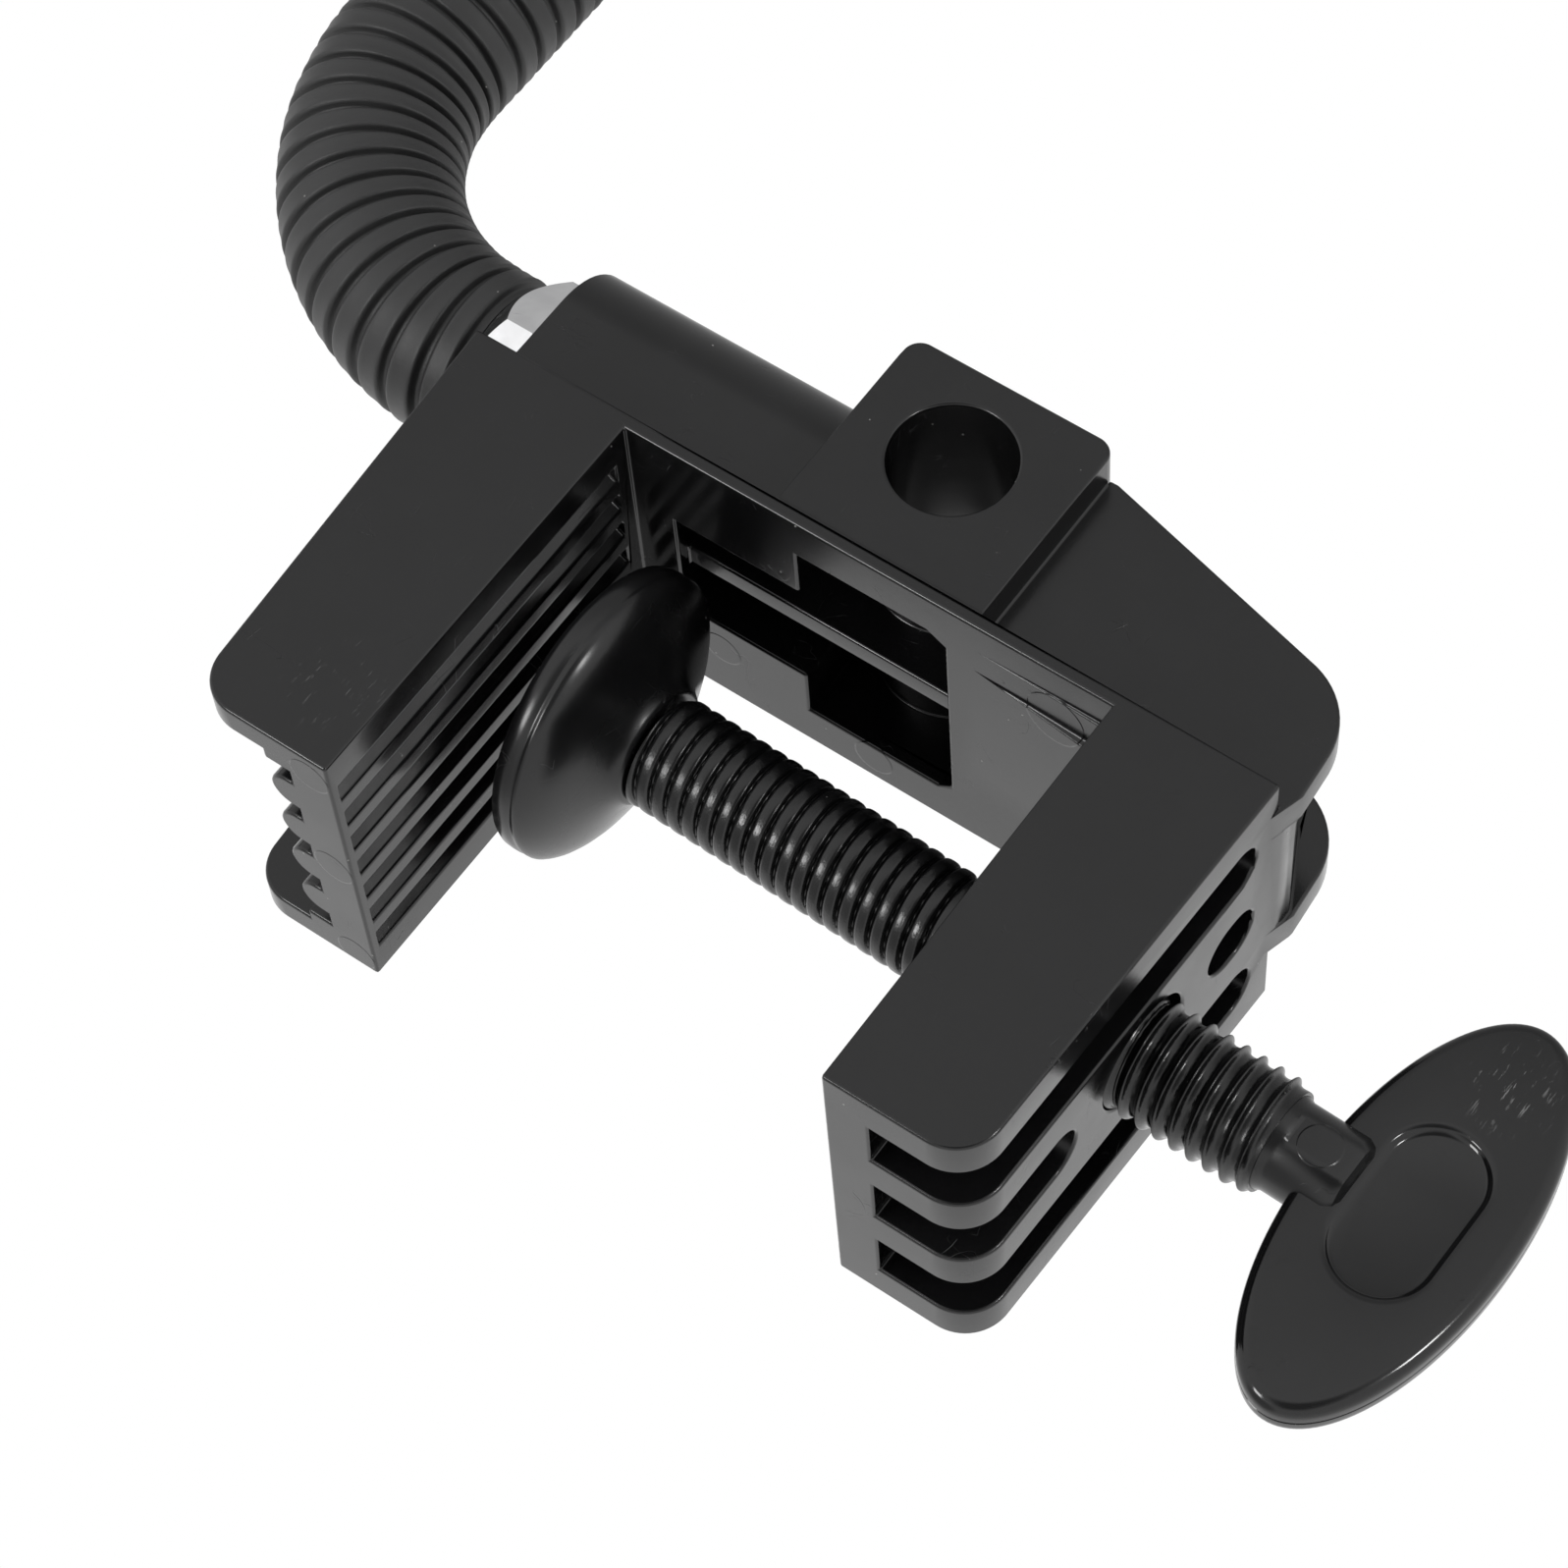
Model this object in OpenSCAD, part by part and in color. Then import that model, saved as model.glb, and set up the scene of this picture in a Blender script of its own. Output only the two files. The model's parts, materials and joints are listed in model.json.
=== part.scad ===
// Clamp-on airbrush stand: a bench clamp, a flexible neck and a head with two brush cradles.
// +Z is up, +Y points over the bench, X runs across the clamp. The origin is where the axis
// of the screw's hole meets the gripping face of the fixed jaw.

/* [Clamp frame] */
// Thickness of the clamp across the bench edge
clamp_t = 40; // [36:0.5:46]
// Opening between the fixed jaw and the screw arm
mouth_h = 57; // [50:1:75]
// Depth of the mouth from the spine to the arm tips
mouth_d = 47; // [42:1:60]
// Distance from the spine's inner face to the screw's axis
screw_d = 20; // [18:0.5:24]
// Height of the fixed jaw at the spine
jaw_h = 19.3; // [18:0.1:24]
// Height of the fixed jaw at its tip
jaw_tip_h = 16.7; // [14:0.1:18]
// Height of the screw arm at the spine
arm_h = 17.7; // [15:0.1:24]
// Height of the screw arm at its tip
arm_tip_h = 16.4; // [14:0.1:18]
// Corner radius of the arm tips
tip_r = 5; // [3:0.5:7]
// Thickness of the spine plate
spine_t = 1.5; // [1.2:0.1:3]
// Thickness of the jaw's side flanges
flange_t = 3.6; // [2.5:0.1:5]
// Thickness of the jaw plate that carries the ridges
web_t = 5.3; // [4.5:0.1:7]

/* [Jaw ridges and ribs] */
// Number of gripping ridges
ridge_n = 8; // [5:1:9]
// Distance between gripping ridges
ridge_pitch = 4.75; // [4:0.05:4.9]
// Depth of the grooves between the ridges
ridge_depth = 1.2; // [0.6:0.1:2]
// Number of full-round ribs behind the jaw plate
rib_n = 4; // [2:1:4]
// Distance between the ribs
rib_pitch = 6.9; // [6:0.1:7.5]
// Thickness of one rib
rib_t = 4.7; // [3:0.1:5]
// How far the ribs stand above the jaw plate
rib_h = 3; // [1.5:0.1:4]

/* [Screw arm] */
// Width of each lightening slot
slot_w = 6.5; // [5:0.1:7]
// Distance between the slots
slot_pitch = 11.75; // [10:0.05:12.5]
// Thickness of the arm's inner plate, which the slots stop at
arm_plate_t = 5; // [4:0.1:7]
// Wall left between a slot's closed end and the spine
slot_end_wall = 1.9; // [1.5:0.1:4]
// Half-width of the solid block that the screw passes through
screw_block = 10.8; // [9.5:0.1:13]

/* [Spine] */
// Width of the tall part of the stepped window
window_w = 28.6; // [22:0.1:30]
// Width of its narrow part
window_neck_w = 15.4; // [10:0.1:18]
// Depth below the jaw face at which the narrow part starts
window_top = 5; // [4:0.5:8]
// Depth below the jaw face at which the tall part starts
window_step = 20.2; // [17:0.1:22]
// Depth below the jaw face at which the window ends
window_end = 37.7; // [33:0.1:40]
// Depth of the hollow behind the window
hollow_d = 12; // [8:0.5:13]
// Thickness of the web that crosses the hollow
hollow_web_t = 2.8; // [2:0.1:4]

/* [Neck socket, post block and fin] */
// Width of the housing that holds the neck
socket_w = 31.4; // [28:0.2:34]
// How far the housing reaches behind the spine's inner face
socket_d = 20.2; // [19:0.1:24]
// Height of the housing's end above the jaw face
socket_top = 16.7; // [14:0.1:17]
// Corner radius of the housing's back
socket_r = 9; // [5:0.5:10]
// Distance from the spine's inner face back to the neck's axis
neck_back = 9.1; // [8:0.1:11]
// Side of the square post block
block_s = 24; // [22:0.5:28]
// Depth below the jaw face at which the block starts
block_top = 17.1; // [15:0.1:20]
// How far the block reaches behind the spine's inner face
block_d = 24.9; // [22:0.1:28]
// Diameter of the post bore
post_bore = 13; // [10:0.1:14]
// Corner radius of the block
block_r = 2; // [1:0.5:4]
// Thickness of each of the fin's two plates
fin_plate_t = 4; // [3:0.5:6]
// Distance from the fin's outer face to the other one's
fin_w = 26.8; // [20:0.2:30]
// Radius of the fin's outer corner
fin_r = 8.9; // [6:0.1:10]
// Depth of the waist between the fin's plates
fin_waist = 3; // [1:0.5:4]

/* [Clamp screw and key] */
// Diameter over the screw's thread
screw_dia = 12.2; // [10:0.1:12.5]
// Lean of the screw in its hole, which the hole's play allows, in degrees
screw_lean = 1.6; // [0:0.1:3]
// Distance the screw moves in one turn
screw_pitch = 1.9; // [1.5:0.05:2.5]
// Distance below the jaw face at which the thread ends
thread_end = 90; // [84:0.5:110]
// Length of the oval key across the screw
key_l = 47; // [40:1:60]
// Width of the key along the screw
key_w = 20.8; // [18:0.2:28]
// Thickness of the key
key_t = 4.5; // [4:0.1:6]
// Turn of the key about the screw in the photographed position
key_turn = 0; // [-20:1:20]
// Radial running clearance of the screw in its bore and of the ball in its socket
run_gap = 0.05; // [0.02:0.01:0.09]

/* [Pressure pad] */
// Diameter of the pressure pad
pad_dia = 31; // [26:0.2:34]
// Gap between the pad and the jaw in the photographed position
pad_gap = 7; // [2:0.1:20]
// Height of the pad
pad_h = 9.2; // [8.6:0.1:12]
// Radius of the ball on the screw's end
ball_r = 4.6; // [4:0.1:5]

/* [Flexible neck] */
// Diameter over the neck's ribs
neck_dia = 20.2; // [18:0.1:22]
// Distance between the neck's ribs
neck_rib_pitch = 3.25; // [2.6:0.05:3.6]
// Depth of the grooves between the neck's ribs
neck_groove = 1; // [0.6:0.1:1.3]
// Diameter of the wound steel core inside the sleeve
core_dia = 13; // [11:0.1:14]
// Length of the straight start of the neck above its nut
lead = 3.5; // [3:0.1:10]
// Radius of the bend beside the clamp
bend_1_r = 29; // [28:0.5:45]
// Length of the straight run behind the clamp
run_1 = 21; // [18:1:40]
// Radius of the bend that turns the neck upwards
bend_2_r = 40; // [30:1:60]
// Radius of the long bend that brings the head forward
bend_3_r = 130; // [100:1:160]
// Turn of that long bend in degrees
bend_3_turn = 50; // [30:1:60]
// Length of the straight end at the head
run_2 = 20; // [18:1:40]

// Diameter of the hole along the core
core_bore = 6; // [4:0.5:8]

/* [Nuts and studs] */
// Width across the flats of the neck nuts
nut_af = 20; // [18:0.5:23]
// Thickness of the neck nuts
nut_t = 7.4; // [5:0.1:9]
// Diameter of the threaded studs at the neck's ends
stud_dia = 12; // [10:0.1:12]

/* [Head] */
// Height of the round socket on the head's knuckle
knuckle_h = 18; // [14:0.5:24]
// Width of the knuckle's fork
fork_w = 22; // [20:0.5:26]
// Thickness of the tongue between the fork's ears
tongue_t = 9; // [7:0.1:11]
// Radius of the ears and of the tongue
ear_r = 9; // [8:0.1:11]
// Diameter of the pivot bolt
pivot_dia = 6; // [5:0.1:7]
// Distance from the pivot to the crossbar's axis
bar_reach = 26; // [23:0.5:34]
// Distance between the two cradles' swivels
cradle_span = 72; // [60:1:100]
// Thickness of the crossbar
bar_t = 8; // [6:0.5:10]
// Width of the crossbar
bar_w = 14; // [12:0.5:16]
// Distance from a cradle's swivel to the middle of its cup
cup_reach = 25; // [22:0.5:34]
// Outside diameter of a cup
cup_dia = 27; // [25:0.5:32]
// Height of a cup
cup_h = 24; // [20:0.5:32]
// Wall of a cup at its mouth
cup_wall = 2.6; // [2:0.1:3]
// Width of the slot in the front of a cup
cup_slot = 11; // [9:0.5:13]
// Thickness of the rubber liner
liner_t = 1.6; // [1.2:0.1:2.2]

/* [Hidden] */
$fn = 64;

plastic = "#26262a";
rubber = "#1a1a1c";
steel = "#b9bcc2";
eps = 0.01;

// Clamp
spine_y = -screw_d;
back_y = spine_y - spine_t;
tip_y = mouth_d - screw_d;
block_y = spine_y - block_d;
post_y = block_y + 10.1;
post_z = -(block_top + 11.5);
screw_play = arm_h / 2 * tan(screw_lean);
bore_r = screw_dia / 2 + run_gap + screw_play;
socket_x = socket_w / 2;
fin_x0 = -socket_x;
fin_x1 = fin_x0 + fin_w;
fin_corner_z = -(mouth_h + 9.6);
fin_corner_y = spine_y - 8.2;

// Screw and pad: the screw leans about the middle of its hole, and the s values run along it
foot_z = -(mouth_h + arm_h / 2);
ball_depth = 5.6;
ball_z = -(pad_gap + ball_depth);
ball_y = (foot_z - ball_z) * tan(screw_lean);
ball_s = foot_z + (ball_z - foot_z) / cos(screw_lean);
key_z = -(thread_end + 13.8);
stem_r = 4.8;
stem_flat = 4.3;
stem_end = thread_end + 8.2;

// Neck: its legs are [length, radius, side], where side is -1 away from the bench
neck_y = spine_y - neck_back;
neck_z = socket_top + nut_t + 0.4;
legs = [
    [lead, 0, 0],
    [PI * bend_1_r / 2, bend_1_r, -1],
    [run_1, 0, 0],
    [PI * bend_2_r / 2, bend_2_r, 1],
    [PI * bend_3_r * bend_3_turn / 180, bend_3_r, 1],
    [run_2, 0, 0]
];
function leg_start(i) = i == 0 ? 0 : leg_start(i - 1) + legs[i - 1][0];
neck_len = leg_start(len(legs));
first_groove = 0.55;
joint_1_s = lead + 10.4;
// The leg that each stretch of the neck lies in, and the place of its end in that leg
stretch_legs = [1, 1, 1, 2, 3, 3, 3, 4, 4, 4, 4, 4, 5];
stretch_n = len(stretch_legs);
function leg_parts(i) = len([for (j = stretch_legs) if (j == i) j]);
function place_in_leg(k) = len([for (j = [1 : k]) if (stretch_legs[j - 1] == stretch_legs[k - 1]) j]);
function joint_s(k) = k < 4
    ? joint_1_s + [0, 5 / 11, 1][k - 1] * (leg_start(2) - joint_1_s)
    : leg_start(stretch_legs[k - 1])
        + legs[stretch_legs[k - 1]][0] * place_in_leg(k) / leg_parts(stretch_legs[k - 1]);
neck_r = neck_dia / 2;
groove_r = neck_r - neck_groove;
core_r = core_dia / 2;
sleeve_gap = 0.1;
ball_joint_r = neck_r + 1.9;
cup_joint_r = ball_joint_r + 0.3;
// How far before a joint the cup's rim ends the sleeve's wall
cup_rim = sqrt(pow(cup_joint_r, 2) - pow(groove_r, 2));

// Heading of the neck is measured in degrees from +Z towards +Y
function turned(leg, s) = leg[2] == 0 ? 0 : leg[2] * s / leg[1] * 180 / PI;
function ahead(h) = [0, sin(h), cos(h)];
function beside(leg, h) = leg[2] * [0, cos(h), -sin(h)];
function step(leg, s, h) = leg[2] == 0
    ? s * ahead(h)
    : leg[1] * (beside(leg, h) - beside(leg, h + turned(leg, s)));
function start_h(i) = i == 0 ? 0 : start_h(i - 1) + turned(legs[i - 1], legs[i - 1][0]);
function start_p(i) = i == 0
    ? [0, neck_y, neck_z]
    : start_p(i - 1) + step(legs[i - 1], legs[i - 1][0], start_h(i - 1));
// Heading and point at length s from the neck's start, on the line of leg i
function heading(i, s) = start_h(i) + turned(legs[i], s - leg_start(i));
function spot(i, s) = start_p(i) + step(legs[i], s - leg_start(i), start_h(i));

// Head
head_s = neck_len;
head_leg = len(legs) - 1;
head_h = heading(head_leg, head_s);
fork_gap = tongue_t + 0.4;
pivot_up = nut_t + 0.4 + knuckle_h + ear_r + 2.5;
pivot = spot(head_leg, head_s) + pivot_up * ahead(head_h);
bar_tilt = 20;
bar_c = pivot + bar_reach * ahead(bar_tilt);
cradle_z = bar_c[2] + bar_t / 2;
lug_t = 5;
liner_gap = 0.12;
swivel_dia = 4;

// Extrudes a profile drawn in Y and Z across the clamp, from x0 to x1
module across(x0, x1) {
    translate([x0, 0, 0]) rotate([90, 0, 90]) linear_extrude(x1 - x0) children();
}

// Extrudes a profile drawn in X and Z backwards, from y1 down to y0
module backwards(y0, y1) {
    translate([0, y1, 0]) rotate([90, 0, 0]) linear_extrude(y1 - y0) children();
}

// Profile of one limb of the C, from the back of the spine to its rounded tip
module limb(root_h, tip_h) {
    hull() {
        polygon([[back_y, 0], [tip_y, 0], [tip_y, tip_h / 2], [back_y, root_h]]);
        translate([tip_y - tip_r, tip_h - tip_r]) circle(tip_r);
    }
}

// Half-round ribs that stiffen the back of the jaw plate
module jaw_ribs() {
    for (i = [0 : rib_n - 1])
        translate([(i - (rib_n - 1) / 2) * rib_pitch, 0, 0]) {
            crown = web_t + rib_h - rib_t / 2;
            translate([-rib_t / 2, back_y, web_t - eps])
                cube([rib_t, tip_y - back_y, crown - web_t + eps]);
            translate([0, tip_y, crown]) rotate([90, 0, 0])
                cylinder(d = rib_t, h = tip_y - back_y);
        }
}

// Grooves between the gripping ridges, with slanted ends near the tip
module jaw_grooves() {
    valley = 1.3;
    for (i = [0 : ridge_n - 2])
        translate([(i - (ridge_n - 2) / 2) * ridge_pitch, 0, 0])
            backwards(spine_y + 2, tip_y - 1)
                polygon([[-valley, -eps], [-0.35, ridge_depth], [0.35, ridge_depth], [valley, -eps]]);
}

// The fixed jaw: two flanges joined by the ridged plate
module fixed_jaw() {
    difference() {
        across(-clamp_t / 2, clamp_t / 2) limb(jaw_h, jaw_tip_h);
        pocket_x = clamp_t / 2 - flange_t;
        translate([-pocket_x, spine_y, web_t]) cube([2 * pocket_x, mouth_d + 1, jaw_h]);
        translate([-pocket_x, back_y - 1, socket_top]) cube([2 * pocket_x, mouth_d, jaw_h]);
        jaw_grooves();
    }
    jaw_ribs();
    shoulder_x = rib_n * rib_pitch / 2 + rib_pitch / 2 - rib_t / 2;
    for (side = [-1, 1])
        translate([side > 0 ? shoulder_x : -clamp_t / 2 + flange_t - eps, back_y, web_t - eps])
            cube([clamp_t / 2 - flange_t - shoulder_x + eps, tip_y - back_y, rib_h]);
}

// One lightening slot of the screw arm: round at its start, y1 can be open past the tip
module arm_slot(x, y0, y1, closed) {
    z0 = -(mouth_h + arm_h + 1);
    h = arm_h + 1 - arm_plate_t;
    r = slot_w / 2;
    translate([x, 0, z0]) {
        translate([0, y0 + r, 0]) cylinder(r = r, h = h);
        if (closed) translate([0, y1 - r, 0]) cylinder(r = r, h = h);
        translate([-r, y0 + r, 0]) cube([slot_w, y1 - y0 - (closed ? slot_w : r), h]);
    }
}

// The screw arm: a plate with four flanges, and a solid block round the screw
module screw_arm() {
    start = spine_y + slot_end_wall;
    difference() {
        across(-clamp_t / 2, clamp_t / 2) translate([0, -mouth_h]) mirror([0, 1]) limb(arm_h, arm_tip_h);
        for (side = [-1, 1]) arm_slot(side * slot_pitch, start, tip_y + 1, false);
        arm_slot(0, start, -screw_block, true);
        arm_slot(0, screw_block, tip_y + 1, false);
        translate([0, 0, -mouth_h - arm_h - 1]) cylinder(r = bore_r, h = arm_h + 2);
    }
}

// Outline of the stepped window in X and Z
module window_outline() {
    translate([-window_neck_w / 2, -window_end]) square([window_neck_w, window_end - window_top]);
    polygon([
        [-window_w / 2, -window_step], [window_w / 2, -window_step],
        [window_w / 2, -window_end + 1.6], [window_w / 2 - 1, -window_end],
        [-window_w / 2 + 1, -window_end], [-window_w / 2, -window_end + 1.6]
    ]);
}

// Hollow behind the window, crossed by its web and by the wall of the post bore
module spine_hollow() {
    wall_r = post_bore / 2 + 2;
    difference() {
        backwards(spine_y - hollow_d, spine_y + 1) window_outline();
        translate([-hollow_web_t / 2, spine_y - hollow_d - 1, -window_end - 1])
            cube([hollow_web_t, hollow_d + 1 - spine_t, window_end]);
        across(-clamp_t, clamp_t) translate([post_y, post_z]) circle(wall_r);
    }
}

// Rounded housing that the neck is screwed into, seen along the neck
module socket_outline() {
    y0 = spine_y - socket_d;
    for (side = [-1, 1]) translate([side * (socket_x - socket_r), y0 + socket_r]) circle(socket_r);
    translate([-socket_x, y0 + socket_r]) square([socket_w, socket_d - socket_r]);
    translate([-socket_x + socket_r, y0]) square([socket_w - 2 * socket_r, socket_d]);
}

// Square block with round corners that carries the post bore
module block_outline() {
    z0 = -(block_top + block_s);
    for (z = [z0 + block_r, -block_top - block_r])
        translate([block_y + block_r, z]) circle(block_r);
    translate([block_y + block_r, z0]) square([block_d - block_r, block_s]);
    translate([block_y, z0 + block_r]) square([block_d, block_s - 2 * block_r]);
}

// Outline of the fin in Y and Z, drawn in by the waist
module fin_outline(inset) {
    top_z = -(block_top + block_s);
    hull() {
        translate([fin_corner_y + inset * 0.4, fin_corner_z + inset]) circle(fin_r);
        polygon([
            [spine_y, top_z], [block_y + 1.4 + inset, top_z], [block_y + 1.4 + inset, top_z - 1.2],
            [back_y - 2.4, -(mouth_h + arm_h) - 1.1 + inset * 0.2],
            [back_y, -(mouth_h + arm_h) - 0.4], [spine_y, -(mouth_h + arm_h)]
        ]);
    }
}

// Two-plate fin that braces the screw arm
module fin() {
    across(fin_x0, fin_x0 + fin_plate_t) fin_outline(0);
    across(fin_x0 + fin_plate_t - eps, fin_x1 - fin_plate_t + eps) fin_outline(fin_waist);
    across(fin_x1 - fin_plate_t, fin_x1) fin_outline(0);
}

module clamp_frame() {
    color(plastic) difference() {
        union() {
            fixed_jaw();
            screw_arm();
            translate([-clamp_t / 2, back_y, -mouth_h - 1]) cube([clamp_t, spine_t, mouth_h + web_t]);
            translate([0, 0, -block_top - 1]) linear_extrude(socket_top + block_top + 1) intersection() {
                socket_outline();
                translate([-clamp_t, spine_y - 2 * socket_d]) square([2 * clamp_t, 2 * socket_d]);
            }
            across(-clamp_t / 2 + 0.3, clamp_t / 2 - 0.3) block_outline();
            fin();
        }
        spine_hollow();
        translate([0, neck_y, -window_top + 1]) cylinder(d = stud_dia + 2 * run_gap, h = 60);
        across(-clamp_t, clamp_t) translate([post_y, post_z]) circle(d = post_bore);
    }
}

// Oval outline of the key, smaller by a margin all round
module key_oval(margin) {
    sides = 72;
    polygon([for (i = [0 : sides - 1])
        [(key_w / 2 - margin) * cos(i * 360 / sides), (key_l / 2 - margin) * sin(i * 360 / sides)]]);
}

// The oval key with rounded edges and a finger recess in each face
module key() {
    rim = 1.4;
    dish_w = 10.3;
    dish_l = 18.8;
    dish_d = 0.8;
    difference() {
        hull() {
            linear_extrude(key_t - 2 * rim, center = true) key_oval(0);
            linear_extrude(key_t - rim, center = true) key_oval(rim * 0.2);
            linear_extrude(key_t, center = true) key_oval(rim);
        }
        for (side = [-1, 1]) translate([0, 0, side * (key_t / 2 - dish_d / 2 + eps)]) {
            for (end = [-1, 1]) translate([0, end * (dish_l - dish_w) / 2, 0])
                cylinder(d = dish_w, h = dish_d, center = true);
            cube([dish_w, dish_l - dish_w, dish_d], center = true);
        }
    }
}

// Leans its children with the screw, about the middle of its hole
module on_screw() {
    translate([0, 0, foot_z]) rotate([screw_lean, 0, 0]) translate([0, 0, -foot_z]) children();
}

module clamp_screw() {
    color(plastic) on_screw() rotate([0, 0, key_turn]) {
        translate([0, 0, -thread_end]) cylinder(d = screw_dia, h = thread_end - pad_gap - pad_h - 0.8);
        translate([0, 0, -thread_end + 1]) cylinder(r = 3.2, h = thread_end - 1 + ball_s);
        translate([0, 0, ball_s]) sphere(ball_r);
        intersection() {
            translate([0, 0, -stem_end]) {
                translate([0, 0, 1.2]) cylinder(r = stem_r, h = stem_end - thread_end);
                cylinder(r1 = stem_r - 1.2, r2 = stem_r, h = 1.2 + eps);
            }
            translate([-stem_flat, -stem_r - 1, -stem_end - 1])
                cube([2 * stem_flat, 2 * stem_r + 2, stem_end]);
        }
        translate([0, 0, key_z]) rotate([0, 90, 0]) key();
    }
}

// Points of a quarter round of radius r about c, from angle a0 to a1
function arc(c, r, a0, a1) = [
    for (i = [0 : 6]) let (a = a0 + i * (a1 - a0) / 6) c + r * [cos(a), sin(a)]
];

module pressure_pad() {
    r = pad_dia / 2;
    front_r = 1;
    rim_h = 3;
    dome_h = pad_h - 1 - rim_h;
    neck = 6.4;
    // The dome falls from the rim to the neck along a power curve
    dome = [for (i = [0 : 9]) let (u = 0.88 * i / 9) [r * sqrt(1 - pow(u, 1.5)), rim_h + dome_h * u / 0.88]];
    color(plastic) translate([0, ball_y, -pad_gap]) mirror([0, 0, 1]) difference() {
        rotate_extrude() polygon(concat(
            [[0, 0]],
            arc([r - front_r, front_r], front_r, -90, 0),
            dome,
            [[neck + 0.4, pad_h - 0.8], [neck, pad_h], [0, pad_h]]
        ));
        translate([0, 0, ball_depth]) sphere(ball_r + run_gap);
        translate([0, 0, ball_depth]) cylinder(r = 3.8, h = pad_h);
    }
}

// Puts its children at length s along the line of leg i, with local Z along the neck
module on_leg(i, s) {
    translate(spot(i, s)) rotate([-heading(i, s), 0, 0]) children();
}

// Puts its children at the neck's end
module at_head() {
    on_leg(head_leg, head_s) children();
}

// The tube of leg i between lengths a and b
module leg_tube(i, a, b, r, r_in) {
    leg = legs[i];
    if (leg[2] == 0)
        on_leg(i, a) rotate_extrude() translate([r_in, 0]) square([r - r_in, b - a]);
    else
        translate(start_p(i) + leg[1] * beside(leg, start_h(i)))
            rotate([leg[2] < 0 ? -heading(i, a) : 180 - heading(i, b), 0, 0])
                rotate([90, 0, 90])
                    rotate_extrude(angle = (b - a) / leg[1] * 180 / PI)
                        translate([leg[1], 0]) difference() {
                            circle(r);
                            circle(r_in);
                        }
}

// Length where the ribs before joint k start, and how many of them fill it evenly
function ribs_from(k) = k == 1 ? first_groove : joint_s(k - 1);
function rib_count(k) = max(2, round((joint_s(k) - ribs_from(k)) / neck_rib_pitch));

// The first n of the ribs that lie before joint k, counted back from it, on leg i or on its
// lead; only those that reach at least 'reach' before the joint
module sleeve_ribs(i, k, n, reach) {
    local = (joint_s(k) - ribs_from(k)) / rib_count(k);
    w = local * 0.37;
    root_r = (core_r + sleeve_gap + groove_r) / 2;
    for (j = [0 : n - 1]) {
        s = joint_s(k) - (j + 0.5) * local;
        if (joint_s(k) - s + w > reach)
            on_leg(s < lead ? 0 : i, s) rotate_extrude() polygon([
                [root_r, -w], [neck_r - 0.4, -w], [neck_r, -w + 0.4],
                [neck_r, w - 0.4], [neck_r - 0.4, w], [root_r, w]
            ]);
    }
}

// Everything behind the ball end of the stretch that starts at length s0 on leg i
module behind_ball(i, s0) {
    reach = ball_joint_r + 4;
    difference() {
        on_leg(i, s0) translate([0, 0, -reach]) cylinder(r = reach, h = reach);
        translate(spot(i, s0)) sphere(ball_joint_r);
    }
}

// Shapes the ends of stretch k: a ball at its start and a cup for the next ball at its end
module shaped_ends(k) {
    i = stretch_legs[k - 1];
    difference() {
        children();
        if (k > 1) behind_ball(i, joint_s(k - 1));
        if (k < stretch_n) translate(spot(i, joint_s(k))) sphere(cup_joint_r);
    }
}

module sleeve_stretch(k) {
    i = stretch_legs[k - 1];
    s0 = k == 1 ? lead : joint_s(k - 1) - ball_joint_r;
    color(rubber) shaped_ends(k) union() {
        leg_tube(i, s0, joint_s(k), groove_r, core_r + sleeve_gap);
        sleeve_ribs(i, k, rib_count(k), k < stretch_n ? cup_rim + 0.1 : 0);
        if (k > 1) sleeve_ribs(i, k - 1, 2, 0);
        if (k == 1) leg_tube(0, 0, lead, groove_r, core_r + sleeve_gap);
    }
}

module core_stretch(k) {
    i = stretch_legs[k - 1];
    s0 = k == 1 ? lead : joint_s(k - 1) - ball_joint_r;
    color(steel) shaped_ends(k) union() {
        leg_tube(i, s0, joint_s(k), core_r, core_bore / 2);
        if (k == 1) leg_tube(0, 0, lead, core_r, core_bore / 2);
    }
}

// Hexagonal nut with chamfered corners, seat at z = 0
module nut(af, t, hole) {
    corner = af / cos(30);
    difference() {
        intersection() {
            cylinder(d = corner, h = t, $fn = 6);
            union() {
                translate([0, 0, t / 2]) cylinder(d1 = corner + 3, d2 = af * 0.96, h = t / 2);
                cylinder(d1 = af * 0.96, d2 = corner + 3, h = t / 2 + eps);
            }
        }
        translate([0, 0, -1]) cylinder(d = hole, h = t + 2);
    }
}

module lower_stud() {
    color(steel) translate([0, neck_y, -window_top + 1.4])
        cylinder(d = stud_dia, h = neck_z + window_top - 1.4);
}

module lower_nut() {
    color(steel) translate([0, neck_y, socket_top]) rotate([0, 0, -3])
        nut(nut_af, nut_t, stud_dia + 2 * run_gap);
}

module upper_stud() {
    color(steel) at_head() cylinder(d = stud_dia, h = nut_t + knuckle_h - 2);
}

module upper_nut() {
    color(steel) at_head() translate([0, 0, 0.4]) nut(nut_af, nut_t, stud_dia + 2 * run_gap);
}

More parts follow.
